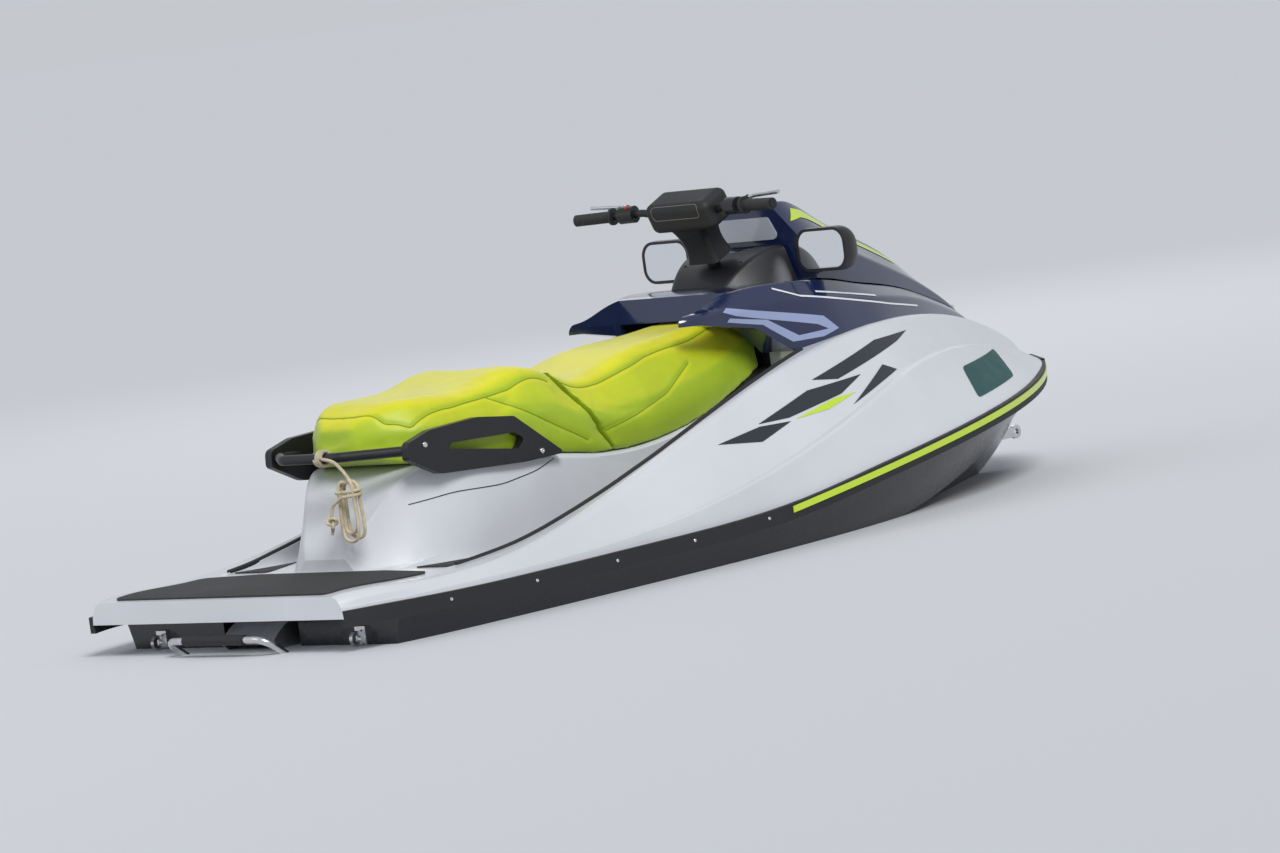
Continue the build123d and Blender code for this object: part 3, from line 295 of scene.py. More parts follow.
LOOKS = {
    "hull_black": gelcoat("hull_black", (0.009, 0.011, 0.018), vary=0.2, gloss=0.24, coat=0.25),
    # the deck's black in the trough ahead of the seat is painted shade
    "deck_silver": gelcoat_with_painted_shade("deck_silver", (0.66, 0.675, 0.71), shade_color=(0.02, 0.02, 0.024)),
    "hood_navy": gelcoat("hood_navy", (0.008, 0.016, 0.065), vary=0.15, gloss=0.14, coat=0.8),
    "lime_gloss": gelcoat("lime_gloss", (0.56, 0.74, 0.03), vary=0.05, gloss=0.22, coat=0.4),
    "trim_black": moulded("trim_black", (0.010, 0.010, 0.013), rough=0.40),
    "soft_black": moulded("soft_black", (0.013, 0.013, 0.015), rough=0.6, grain=300.0, depth=0.3),
    "mat_black": ribbed("mat_black", (0.030, 0.031, 0.034), "Y", pitch=0.016, rough=0.75, depth=0.8),
    "grip_black": ribbed("grip_black", (0.018, 0.018, 0.020), "Y", pitch=0.006, rough=0.6, depth=0.8),
    "alloy": metal("alloy", (0.60, 0.61, 0.63), rough=0.38),
    "steel": metal("steel", (0.66, 0.66, 0.67), rough=0.2),
    "engine_grey": moulded("engine_grey", (0.10, 0.10, 0.11), rough=0.6),
    "mirror_silver": metal("mirror_silver", (0.88, 0.90, 0.93), rough=0.03, vary=0.01),
    "display": gelcoat("display", (0.01, 0.016, 0.022), vary=0.1, gloss=0.06, coat=1.0),
    # painted highlight: the hood panel's lighter grey stands in for the highlight off the curved console
    "panel_grey": gelcoat("panel_grey", (0.42, 0.45, 0.52), vary=0.05, gloss=0.12, coat=0.9),
    # the seat's yellow top and green flanks are painted light and painted shade
    "vinyl_lime": vinyl("vinyl_lime", top=(0.80, 0.76, 0.008), flank=(0.42, 0.58, 0.015)),
    "button_red": moulded("button_red", (0.45, 0.012, 0.012), rough=0.4),
    "button_green": moulded("button_green", (0.02, 0.20, 0.05), rough=0.4),
    "thread_grey": moulded("thread_grey", (0.16, 0.16, 0.17), rough=0.7),
    "piping": moulded("piping", (0.30, 0.40, 0.012), rough=0.5, grain=650.0, depth=0.2, vary=0.05),
    "rope": rope_look("rope", (0.66, 0.56, 0.38)),
    # dark film for print, and for the painted shadow of the scoop
    "dark_ink_and_shadow": gelcoat("dark_ink_and_shadow", (0.012, 0.016, 0.026), vary=0.1, gloss=0.3, coat=0.2),
    "ink_blue": gelcoat("ink_blue", (0.30, 0.36, 0.56), vary=0.06, gloss=0.16, coat=0.6),
    "ink_white": gelcoat("ink_white", (0.80, 0.82, 0.86), vary=0.03, gloss=0.2, coat=0.4),
    "plate_green": gelcoat("plate_green", (0.015, 0.075, 0.075), vary=0.1, gloss=0.5, coat=0.0),
}
NODE_LOOKS = {
    # start of a node's name: its look
    "hull": "hull_black",
    "intake_duct": "trim_black",
    "deck": "deck_silver",
    "front_shroud": "hood_navy",
    "hood_lid": "hood_navy",
    "hood_panel": "panel_grey",
    "hood_crest": "lime_gloss",
    "rail_stripe": "lime_gloss",
    "seat": "vinyl_lime",
    "console": "trim_black",
    "grab_rail": "trim_black",
    "rub_rail": "soft_black",
    "bow_bumper": "soft_black",
    "sponson": "trim_black",
    "footwell_mat": "mat_black",
    "platform_mat": "mat_black",
    "pump_housing": "alloy",
    "steering_nozzle": "alloy",
    "reverse_bucket": "alloy",
    "ride_plate": "alloy",
    "intake_grate": "alloy",
    "impeller": "steel",
    "drive_shaft": "steel",
    "boarding_step": "steel",
    "step_tread": "soft_black",
    "step_bracket": "steel",
    "bow_eye": "steel",
    "stern_eye": "steel",
    "drain_plug": "trim_black",
    "engine_block": "engine_grey",
    "mirror_glass": "mirror_silver",
    "mirror": "trim_black",
    "gauge": "display",
    "storage_tub": "trim_black",
    "hood_hinge": "steel",
    "steering_column": "trim_black",
    "column_cover": "trim_black",
    "handlebar_pad": "soft_black",
    "handlebar": "trim_black",
    "grip": "grip_black",
    "switch_pod": "trim_black",
    "reverse_lever": "alloy",
    "throttle_lever": "alloy",
    "mooring": "rope",
}
SMOOTH_ANGLE = math.radians(32)


def look_of(node):
    """The look of the longest start that fits the node's name."""
    for start in sorted(NODE_LOOKS, key=len, reverse=True):
        if node.startswith(start):
            return LOOKS[NODE_LOOKS[start]]
    raise KeyError(node)


def smooth(thing):
    bpy.context.view_layer.objects.active = thing
    thing.select_set(True)
    bpy.ops.object.shade_smooth_by_angle(angle=SMOOTH_ANGLE)
    thing.select_set(False)


def dress_nodes():
    for node, thing in nodes.items():
        thing.data.materials.clear()
        thing.data.materials.append(look_of(node))
        smooth(thing)


dress_nodes()


# Mesh helpers
SIDES = {"port": 1, "starboard": -1}
RAY_REACH = 3.0
BESIDE = 1.2  # rays from a side start this far from the middle
ABOVE = 1.6  # rays from above start this far over the water
BEHIND = 1.9  # rays from behind start this far aft of the origin
FILM_GRID = 0.009
FILM_PROUD = 0.0014
STRAND_DEPTH = 0.20  # share of a rope's radius that the grooves between its strands are sunk


def world_mesh(thing):
    """The vertices and faces of an object, modifiers included, in the row frame."""
    seen = thing.evaluated_get(bpy.context.evaluated_depsgraph_get())
    mesh = seen.to_mesh()
    points = [thing.matrix_world @ v.co for v in mesh.vertices]
    faces = [tuple(p.vertices) for p in mesh.polygons]
    seen.to_mesh_clear()
    return points, faces


def tree_of(*things):
    """One tree for rays, of the surfaces of all these objects."""
    points, faces = [], []
    for thing in things:
        more, rings = world_mesh(thing)
        faces += [tuple(i + len(points) for i in ring) for ring in rings]
        points += more
    return BVHTree.FromPolygons(points, faces)


def new_piece(name, points, faces, look, body):
    """A mesh object in the row frame that rides on a body."""
    mesh = bpy.data.meshes.new(name)
    mesh.from_pydata([tuple(p) for p in points], [], faces)
    mesh.validate()
    thing = bpy.data.objects.new(name, mesh)
    scene.collection.objects.link(thing)
    mesh.materials.append(LOOKS[look])
    smooth(thing)
    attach(thing, body)
    return thing


def cast(tree, origin, direction):
    """Where a ray first meets the surface, and the normal there on the ray's side."""
    hit, normal, _, _ = tree.ray_cast(origin, direction, RAY_REACH)
    if hit is None:
        return None, None
    if normal.dot(direction) > 0:
        normal = -normal
    return hit, normal


def from_side(tree, x, z, sign):
    return cast(tree, Vector((x, sign * BESIDE, z)), Vector((0, -sign, 0)))


def from_above(tree, x, y):
    return cast(tree, Vector((x, y, ABOVE)), Vector((0, 0, -1)))


def from_behind(tree, y, z):
    return cast(tree, Vector((-BEHIND, y, z)), Vector((1, 0, 0)))


def cut_on_grid(corners, step):
    """A polygon in the plane, cut along a square grid, as points and faces."""
    made = bmesh.new()
    ring = [made.verts.new((u, v, 0)) for u, v in corners]
    for a, b, c in tessellate_polygon([[Vector((u, v, 0)) for u, v in corners]]):
        made.faces.new((ring[a], ring[b], ring[c]))
    for axis, toward in enumerate((Vector((1, 0, 0)), Vector((0, 1, 0)))):
        low = min(p[axis] for p in corners)
        high = max(p[axis] for p in corners)
        line = math.floor(low / step) * step
        while line < high:
            whole = made.verts[:] + made.edges[:] + made.faces[:]
            bmesh.ops.bisect_plane(made, geom=whole, plane_co=toward * line, plane_no=toward, dist=1e-6)
            line += step
    made.verts.ensure_lookup_table()
    points = [(v.co.x, v.co.y) for v in made.verts]
    faces = [[v.index for v in f.verts] for f in made.faces]
    made.free()
    return points, faces


def side_decal(name, tree, corners, look, body, proud=FILM_PROUD):
    """A thin film on each side: corners in x and z, laid on the surface seen from that side."""
    for side, sign in SIDES.items():
        flat, faces = cut_on_grid(corners, FILM_GRID)
        points = []
        for x, z in flat:
            hit, normal = from_side(tree, x, z, sign)
            if hit is None or hit.y * sign < 0:
                raise RuntimeError(f"{name} misses the side at {x:.3f}, {z:.3f}")
            points.append(hit + normal * proud)
        new_piece(f"{name}_{side}", points, faces, look, body)


def top_decal(name, tree, corners, look, body, proud):
    """A thin film seen from above: corners in x and y."""
    flat, faces = cut_on_grid(corners, FILM_GRID)
    points = []
    for x, y in flat:
        hit, normal = from_above(tree, x, y)
        if hit is None:
            raise RuntimeError(f"{name} misses the top at {x:.3f}, {y:.3f}")
        points.append(hit + normal * proud)
    new_piece(name, points, faces, look, body)


def along(points, step):
    """Points every step along a run of straight lines."""
    made = [Vector(points[0])]
    for a, b in zip(points, points[1:]):
        a, b = Vector(a), Vector(b)
        count = max(1, round((b - a).length / step))
        made += [a.lerp(b, (i + 1) / count) for i in range(count)]
    return made


def smooth_run(points, rounds):
    """The same run with its corners rounded off by averaging, and its ends kept."""
    made = [p.copy() for p in points]
    for _ in range(rounds):
        inner = [(a + 2 * b + c) / 4 for a, b, c in zip(made, made[1:], made[2:])]
        made = [made[0]] + inner + [made[-1]]
    return made


def tube(name, path, radius, look, body, ring, strands=0, lay=1.0):
    """A tube along close points, or a rope of strands that turn once in each length of lay."""
    points, faces = [], []
    forward = (path[1] - path[0]).normalized()
    side = forward.orthogonal().normalized()
    run = 0.0
    for i, p in enumerate(path):
        ahead = path[min(i + 1, len(path) - 1)] - path[max(i - 1, 0)]
        ahead.normalize()
        side = (side - ahead * side.dot(ahead)).normalized()
        up = ahead.cross(side)
        if i:
            run += (p - path[i - 1]).length
        for j in range(ring):
            turn = 2 * math.pi * j / ring
            r = radius
            if strands:
                crown = abs(math.cos(strands / 2 * (turn - 2 * math.pi * run / lay)))
                r = radius * (1 - STRAND_DEPTH + STRAND_DEPTH * crown)
            points.append(p + side * (r * math.cos(turn)) + up * (r * math.sin(turn)))
    for i in range(len(path) - 1):
        for j in range(ring):
            k = (j + 1) % ring
            faces.append((i * ring + j, i * ring + k, (i + 1) * ring + k, (i + 1) * ring + j))
    faces.append(tuple(range(ring))[::-1])
    faces.append(tuple((len(path) - 1) * ring + j for j in range(ring)))
    return new_piece(name, points, faces, look, body)


# Mooring line: three-strand rope, a hitch on the grab hoop and a hank of loose loops that hangs from it
ROPE = 0.010
ROPE_RING = 18
ROPE_STRANDS = 3
ROPE_LAY = 0.028
SPLINE_STEPS = 10  # points read from the spline for each control point
HOOP_AXIS = (-1.245, 0.466)  # x and z of the hoop's rear run
HOOP_RADIUS = 0.014
HITCH = (-0.040, -0.067)  # y where the turns round the hoop start and end
HITCH_TURNS = 3
HITCH_STEPS = 24
HITCH_CLEAR = 0.0003
ROUTE = [
    (-1.264, -0.072, 0.466),
    (-1.269, -0.100, 0.464),
    (-1.274, -0.130, 0.457),
    (-1.281, -0.156, 0.443),
    (-1.285, -0.181, 0.424),
    (-1.286, -0.198, 0.400),
]
HANK_AT = (-1.270, -0.165)
LOOP = [
    # across in half widths, and up from bottom to top
    (0.0, 1.0), (-0.60, 0.99), (-0.98, 0.88), (-0.94, 0.70), (-0.95, 0.50),
    (-1.0, 0.28), (-0.84, 0.07), (-0.34, 0.0), (0.34, 0.0), (0.84, 0.07),
    (1.0, 0.28), (0.95, 0.50), (0.94, 0.70), (0.98, 0.88), (0.60, 0.99),
]
LOOPS = [
    # half width, top z, bottom z, sideways lean at the bottom
    (0.034, 0.407, 0.243, 0.000),
    (0.029, 0.403, 0.264, 0.007),
    (0.033, 0.406, 0.250, -0.006),
]
FIRST_OF_LOOP = 3  # the route comes into the first loop at this point
TO_TIE = (0.020, 0.002, 0.402)  # between the last loop and the tie: x and y from HANK_AT, and z
TIE = (0.0265, 0.041, 0.384)  # half depth, half width and height of the turns that hold the loops
TIE_TURNS = 1.5
TIE_STEPS = 12
TIE_PITCH = 0.0125
TAIL = [
    (-1.2965, -0.150, 0.357),
    (-1.300, -0.133, 0.348),
    (-1.302, -0.123, 0.330),
    (-1.302, -0.120, 0.309),
]
KNOT = 0.0058  # the stopper knot reaches up to three times this from its middle
KNOT_DEEP = 1.05  # and along the craft this many times it
KNOT_DROP = 0.010  # how far its middle is below the line's end
KNOT_STEPS = 120
KNOT_ROPE = 0.96  # share of its full thickness that the rope has in the knot
FRAYED = [(0.002, 0.004, -0.022), (0.003, 0.006, -0.032), (0.003, 0.010, -0.044)]  # from the line's end


def rope_route():
    """The line's control points: from the hoop, round the loops, round the tie and down."""
    route = [Vector(p) for p in ROUTE]
    for turn, (half, top, low, lean) in enumerate(LOOPS):
        for step, (across, up) in enumerate(LOOP):
            if turn == 0 and step < FIRST_OF_LOOP:
                continue
            x = HANK_AT[0] + ROPE * (turn + step / len(LOOP)) - ROPE * len(LOOPS) / 2
            y = HANK_AT[1] + across * half + lean * (1 - up)
            route.append(Vector((x, y, low + up * (top - low))))
    route.append(Vector((HANK_AT[0] + TO_TIE[0], HANK_AT[1] + TO_TIE[1], TO_TIE[2])))
    for step in range(round(TIE_TURNS * TIE_STEPS) + 1):
        angle = -math.radians(360 / TIE_STEPS * step)
        x = HANK_AT[0] + TIE[0] * math.cos(angle)
        y = HANK_AT[1] + TIE[1] * math.sin(angle)
        route.append(Vector((x, y, TIE[2] - TIE_PITCH * step / TIE_STEPS)))
    return route + [Vector(p) for p in TAIL]


def spline_points(route):
    """Close points read from the route's own smooth NURBS spline."""
    curve = bpy.data.curves.new("route", "CURVE")
    curve.dimensions = "3D"
    spline = curve.splines.new("NURBS")
    spline.points.add(len(route) - 1)
    for point, place in zip(spline.points, route):
        point.co = (*place, 1)
    spline.order_u = 3
    spline.use_endpoint_u = True
    spline.resolution_u = SPLINE_STEPS
    holder = bpy.data.objects.new("route", curve)
    scene.collection.objects.link(holder)
    mesh = bpy.data.meshes.new_from_object(holder.evaluated_get(bpy.context.evaluated_depsgraph_get()))
    points = [v.co.copy() for v in mesh.vertices]
    bpy.data.objects.remove(holder)
    bpy.data.curves.remove(curve)
    bpy.data.meshes.remove(mesh)
    return points


def rope_tube(name, path, radius=ROPE / 2):
    return tube(name, path, radius, "rope", "craft", ROPE_RING, ROPE_STRANDS, ROPE_LAY)


def knot_path(end):
    """A stopper knot as a trefoil, just below the line's end."""
    path = []
    for i in range(KNOT_STEPS + 1):
        t = 2 * math.pi * i / KNOT_STEPS
        x = KNOT_DEEP * KNOT * -math.sin(3 * t)
        y = KNOT * (math.sin(t) + 2 * math.sin(2 * t))
        z = KNOT * (math.cos(t) - 2 * math.cos(2 * t)) - KNOT_DROP
        path.append(end + Vector((x, y, z)))
    return path


def hitch_path():
    """The turns round the grab hoop."""
    path = []
    reach = HOOP_RADIUS + ROPE / 2 + HITCH_CLEAR
    steps = HITCH_TURNS * HITCH_STEPS
    for i in range(steps + 1):
        angle = math.pi + 2 * math.pi * i / HITCH_STEPS
        x = HOOP_AXIS[0] + reach * math.cos(angle)
        y = HITCH[0] + (HITCH[1] - HITCH[0]) * i / steps
        z = HOOP_AXIS[1] + reach * math.sin(angle)
        path.append(Vector((x, y, z)))
    return path


def make_rope():
    points = spline_points(rope_route())
    end = points[-1]
    line = rope_tube("mooring_rope", points)
    knot = rope_tube("mooring_knot", knot_path(end), ROPE / 2 * KNOT_ROPE)
    tail = along([end + Vector(p) for p in FRAYED], step=0.002)
    frayed = rope_tube("mooring_tail", smooth_run(tail, rounds=3))
    wraps = rope_tube("mooring_wraps", hitch_path())
    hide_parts("mooring_hitch")
    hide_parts("mooring_line", "mooring_hank")


make_rope()


# Seat: two moulded-foam cushions in vinyl, swelled by a short cloth run, with sewn seams and piping
VOXEL = 0.009
SHRINK = 0.003
SWELL = 0.006  # the most that a point may move
CLOTH_FRAMES = 20
HELD_BELOW = -0.4  # points are held where the normal's z is lower than this
CHANNEL_REACH = 0.016
CHANNEL_DEPTH = 0.0035
PIPING = 0.0022
PIPING_PROUD = 0.0004
SEAM_STEP = 0.004
SEAM_ROUNDS = 6
REAR_EDGE = [
    (-1.105, 0.0), (-1.104, 0.080), (-1.085, 0.140), (-1.035, 0.192),
    (-0.90, 0.212), (-0.69, 0.222), (-0.56, 0.215), (-0.525, 0.213),
]
FRONT_EDGE = [
    (-0.478, 0.204), (-0.30, 0.190), (-0.16, 0.178), (-0.02, 0.160),
    (0.12, 0.140), (0.25, 0.114), (0.345, 0.096),
]
REAR_SEAM = [(-0.768, 0.553), (-0.62, 0.478), (-0.438, 0.385)]
FRONT_SEAM = [(-0.36, 0.40), (-0.22, 0.425), (-0.08, 0.462), (0.06, 0.53)]
CUSHIONS = {
    # node: the seam along its edge in x and y, and the seam on its flank in x and z
    "seat_rear": (REAR_EDGE, REAR_SEAM),
    "seat_front": (FRONT_EDGE, FRONT_SEAM),
}


def apply_modifiers(thing):
    seen = thing.evaluated_get(bpy.context.evaluated_depsgraph_get())
    mesh = bpy.data.meshes.new_from_object(seen)
    old = thing.data
    thing.modifiers.clear()
    thing.data = mesh
    bpy.data.meshes.remove(old)


def averaged(mesh, values, share, rounds):
    """Each vertex's value moved towards the mean of its neighbours', round after round."""
    for _ in range(rounds):
        total = [Vector() for _ in values]
        count = [0] * len(values)
        for edge in mesh.edges:
            a, b = edge.vertices
            total[a] += values[b]
            total[b] += values[a]
            count[a] += 1
            count[b] += 1
        values = [value.lerp(t / n, share) if n else value for value, t, n in zip(values, total, count)]
    return values


def relax(mesh, share, rounds=1):
    """The mesh evened out by averaging over each vertex's neighbours."""
    places = averaged(mesh, [v.co.copy() for v in mesh.vertices], share, rounds)
    for v, place in zip(mesh.vertices, places):
        v.co = place


def cushion_blank(node):
    """The cushion's form as an even mesh, a little inside its solid."""
    made = bpy.data.objects.new(f"{node}_cover", nodes[node].data.copy())
    made.matrix_world = nodes[node].matrix_world.copy()
    scene.collection.objects.link(made)
    remesh = made.modifiers.new("even", "REMESH")
    remesh.mode = "VOXEL"
    remesh.voxel_size = VOXEL
    apply_modifiers(made)
    relax(made.data, share=0.5, rounds=2)
    normals = [v.normal.copy() for v in made.data.vertices]
    for v, n in zip(made.data.vertices, normals):
        v.co -= n * SHRINK
    return made


def swell(thing):
    """Cloth under a little pressure, its underside held, with a cap on how far a point may move."""
    rest = [v.co.copy() for v in thing.data.vertices]
    held = thing.vertex_groups.new(name="held")
    held.add([v.index for v in thing.data.vertices if v.normal.z < HELD_BELOW], 1.0, "REPLACE")
    cloth = thing.modifiers.new("cloth", "CLOTH")
    settings = cloth.settings
    settings.quality = 4
    settings.mass = 0.4
    settings.tension_stiffness = 25
    settings.compression_stiffness = 25
    settings.bending_stiffness = 2
    settings.use_pressure = True
    settings.uniform_pressure_force = 4.0
    settings.effector_weights.gravity = 0.0
    settings.vertex_group_mass = "held"
    cloth.collision_settings.use_collision = False
    cloth.point_cache.frame_start = 1
    cloth.point_cache.frame_end = CLOTH_FRAMES
    for frame_number in range(1, CLOTH_FRAMES + 1):
        scene.frame_set(frame_number)
    apply_modifiers(thing)
    moves = [v.co - place for v, place in zip(thing.data.vertices, rest)]
    moves = averaged(thing.data, moves, share=0.6, rounds=4)
    for v, place, move in zip(thing.data.vertices, rest, moves):
        v.co = place + (move if move.length < SWELL else move.normalized() * SWELL)
    scene.frame_set(1)


def refine(thing):
    more = thing.modifiers.new("fine", "SUBSURF")
    more.levels = 1
    more.render_levels = 1
    apply_modifiers(thing)


def make_cover(node):
    cover = cushion_blank(node)
    swell(cover)
    relax(cover.data, share=0.4)
    refine(cover)
    cover.data.materials.clear()
    cover.data.materials.append(LOOKS["vinyl_lime"])
    return cover


def press(thing, path):
    """A sewn channel: points near the path are drawn inward."""
    near = KDTree(len(path))
    for i, p in enumerate(path):
        near.insert(p, i)
    near.balance()
    for v in thing.data.vertices:
        _, _, gap = near.find(v.co)
        if gap < CHANNEL_REACH:
            v.co -= v.normal * CHANNEL_DEPTH * (1 - gap / CHANNEL_REACH) ** 2


def seam_runs(tree, edge, seam):
    """The seams of one cushion, both sides: along its edge seen from above, and on its flank."""
    runs = []
    for sign in SIDES.values():
        run = smooth_run(along([(x, sign * y, 0) for x, y in edge], SEAM_STEP), SEAM_ROUNDS)
        found = [from_above(tree, p.x, p.y) for p in run]
        runs.append([hit for hit, _ in found if hit is not None])
        run = smooth_run(along([(x, 0, z) for x, z in seam], SEAM_STEP), SEAM_ROUNDS)
        found = [from_side(tree, p.x, p.z, sign) for p in run]
        runs.append([hit for hit, _ in found if hit is not None])
    return runs


def lay_piping(node, cover, runs):
    tree = tree_of(cover)
    for number, run in enumerate(runs):
        laid = []
        for p in run:
            hit, normal, _, _ = tree.find_nearest(p)
            laid.append(hit + normal * PIPING_PROUD)
        tube(f"{node}_piping_{number}", smooth_run(laid, rounds=4), PIPING, "piping", "craft", ring=6)


def make_seat():
    covers = {node: make_cover(node) for node in CUSHIONS}
    for node, cover in covers.items():
        runs = seam_runs(tree_of(cover), *CUSHIONS[node])
        for run in runs:
            press(cover, run)
        lay_piping(node, cover, runs)
        for polygon in cover.data.polygons:
            polygon.use_smooth = True
        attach(cover, "craft")
        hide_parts(node)


make_seat()


# Films and trims on the mouldings, with corners and runs in x and z, apart from the rim's
DECK_FILMS = [
    ("bar_high", "dark_ink_and_shadow", [(0.26, 0.437), (0.60, 0.505), (0.79, 0.509), (0.71, 0.488), (0.36, 0.425)]),
    ("bar_mid", "dark_ink_and_shadow", [(-0.02, 0.352), (0.22, 0.412), (0.46, 0.424), (0.34, 0.385), (0.10, 0.352)]),
    ("bar_lime", "lime_gloss", [(0.12, 0.345), (0.30, 0.377), (0.40, 0.381), (0.26, 0.352)]),
    ("bar_low", "dark_ink_and_shadow", [(-0.20, 0.322), (-0.02, 0.345), (0.10, 0.342), (-0.04, 0.305)]),
    # painted shadow: a dark film where the scoop's shadow falls on the deck
    ("scoop_shadow", "dark_ink_and_shadow", [(0.36, 0.349), (0.575, 0.436), (0.63, 0.414), (0.51, 0.386), (0.42, 0.364)]),
]
SHROUD_FILMS = [
    ("chevron_high", "ink_blue", [
        (0.15, 0.655), (0.17, 0.665), (0.46, 0.598), (0.505, 0.556),
        (0.465, 0.560), (0.43, 0.578), (0.19, 0.640),
    ]),
    ("chevron_low", "ink_blue", [
        (0.505, 0.556), (0.44, 0.541), (0.345, 0.541), (0.27, 0.602), (0.16, 0.626),
        (0.17, 0.636), (0.285, 0.614), (0.365, 0.556), (0.465, 0.560),
    ]),
]
LID_FILMS = [
    ("hood_flash", "lime_gloss", [
        (0.556, 0.868), (0.598, 0.903), (0.64, 0.893), (0.68, 0.874), (0.74, 0.840),
        (0.80, 0.810), (1.06, 0.688), (1.05, 0.682), (0.80, 0.788), (0.74, 0.816),
        (0.68, 0.848), (0.64, 0.865), (0.61, 0.873),
    ]),
]
PINSTRIPES = [
    [(0.335, 0.697), (0.405, 0.664), (0.80, 0.588), (0.98, 0.560)],
    [(0.47, 0.668), (0.74, 0.620)],
]
PINSTRIPE = 0.005
PLATE = [(0.951, 0.375), (1.270, 0.390), (1.219, 0.312), (0.923, 0.285)]
PLATE_CORNER = 0.016
PLATE_PROUD = 0.0016
BODY_GROOVE = [(-0.585, 0.356), (-0.66, 0.334), (-0.80, 0.318), (-0.98, 0.326), (-1.10, 0.312)]
BODY_GROOVE_RADIUS = 0.0016
RIM = [
    # x and y along a footwell's outer rim
    (-1.19, 0.450), (-1.10, 0.458), (-1.00, 0.475), (-0.90, 0.477), (-0.80, 0.474),
    (-0.60, 0.471), (-0.40, 0.458), (-0.20, 0.432), (0.0, 0.405), (0.10, 0.392),
    (0.20, 0.378), (0.30, 0.360), (0.345, 0.352),
]
RIM_RADIUS = 0.0085
RIM_OUT = 0.006  # the trim's middle is this far outside the rim
RIM_DEEP = 0.001  # and this far under the deck
RIM_READ = 0.012  # where the deck's height is read this far outside the rim
TRIM_STEP = 0.01


def rounded(corners, radius, steps=5):
    """A polygon with its corners rounded off."""
    made = []
    count = len(corners)
    for i in range(count):
        before, here, after = (Vector(corners[(i + k) % count]) for k in (-1, 0, 1))
        start = here + (before - here).normalized() * radius
        stop = here + (after - here).normalized() * radius
        for k in range(steps + 1):
            t = k / steps
            made.append(start * (1 - t) ** 2 + here * 2 * t * (1 - t) + stop * t ** 2)
    return [tuple(p) for p in made]


def stroke(line, wide):
    """The outline of a line of some width in the plane."""
    left, right = [], []
    for i, here in enumerate(line):
        run = Vector(line[min(i + 1, len(line) - 1)]) - Vector(line[max(i - 1, 0)])
        across = Vector((-run.y, run.x)).normalized() * wide / 2
        left.append(tuple(Vector(here) + across))
        right.append(tuple(Vector(here) - across))
    return left + right[::-1]


def make_films(deck):
    shroud = tree_of(nodes["front_shroud"])
    lid = tree_of(nodes["hood_lid"])
    for tree, films, body in (
        (deck, DECK_FILMS, "craft"),
        (shroud, SHROUD_FILMS, "craft"),
        (lid, LID_FILMS, "hood"),
    ):
        for name, look, corners in films:
            side_decal(name, tree, corners, look, body)
    for number, line in enumerate(PINSTRIPES):
        side_decal(f"pinstripe_{number}", shroud, stroke(line, PINSTRIPE), "ink_white", "craft")
    side_decal("plate", deck, rounded(PLATE, PLATE_CORNER), "plate_green", "craft", PLATE_PROUD)


def make_grooves(deck):
    """The groove line on each flank of the seat's pedestal."""
    run = smooth_run(along([(x, 0, z) for x, z in BODY_GROOVE], TRIM_STEP), rounds=12)
    for side, sign in SIDES.items():
        path = [from_side(deck, p.x, p.z, sign)[0] for p in run]
        tube(f"body_groove_{side}", path, BODY_GROOVE_RADIUS, "dark_ink_and_shadow", "craft", ring=6)


def make_rim_trims(deck):
    """The black edge trim along each footwell's outer rim."""
    for side, sign in SIDES.items():
        path = []
        for p in smooth_run(along([(x, sign * y, 0) for x, y in RIM], TRIM_STEP), rounds=8):
            hit, _ = from_above(deck, p.x, p.y + sign * RIM_READ)
            path.append(Vector((p.x, p.y + sign * RIM_OUT, hit.z - RIM_DEEP)))
        tube(f"rim_trim_{side}", path, RIM_RADIUS, "soft_black", "craft", ring=12)


def make_trims():
    deck = tree_of(nodes["deck"])
    make_films(deck)
    make_grooves(deck)
    make_rim_trims(deck)


make_trims()


# Fasteners: profiles as out and up in radii, places as x and z, or x and y on the console
HEAD = [(1.0, -0.2), (1.0, 0.3), (0.82, 0.52), (0.42, 0.56), (0.38, 0.30)]
BLADE_BOLTS = [(-1.085, 0.470), (-0.655, 0.386)]
BLADE_BOLT = 0.008
RAIL_SCREWS = [
    (-1.35, 0.091), (-1.05, 0.088), (-0.75, 0.090),
    (-0.45, 0.094), (-0.15, 0.105), (0.15, 0.133),
]
RAIL_SCREW = 0.005
CONSOLE_SCREWS = [(0.405, 0.112), (0.500, 0.132)]
CONSOLE_SCREW = 0.004
PUMP_BOLTS = 6
PUMP_BOLT = 0.006
PUMP_BOLT_RING = 0.0955
PUMP_Z = -0.105
BUTTON = [(1.0, -0.3), (1.0, 0.5), (0.85, 0.75), (0.5, 0.85)]
BUTTON_RADIUS = 0.0055
BUTTON_RAY = 0.1  # how far behind and above the pod's middle the buttons' rays start
BUTTONS = [
    # name, look, y from the pod's middle
    ("stop_button", "button_red", -0.013),
    ("start_button", "button_green", 0.012),
]


def fasteners(name, spots, radius, body, look="steel", profile=HEAD, ring=12):
    """Round heads, all in one mesh, one at each place and normal."""
    points, faces = [], []
    for place, normal in spots:
        side = normal.orthogonal().normalized()
        up = normal.cross(side)
        base = len(points)
        for wide, high in profile:
            for j in range(ring):
                turn = 2 * math.pi * j / ring
                out = side * math.cos(turn) + up * math.sin(turn)
                points.append(place + normal * (high * radius) + out * (wide * radius))
        for i in range(len(profile) - 1):
            for j in range(ring):
                k = (j + 1) % ring
                a = base + i * ring
                faces.append((a + j, a + k, a + ring + k, a + ring + j))
        last = base + (len(profile) - 1) * ring
        faces.append([last + j for j in range(ring)])
    new_piece(name, points, faces, look, body)


def side_spots(tree, places):
    return [from_side(tree, x, z, sign) for x, z in places for sign in SIDES.values()]


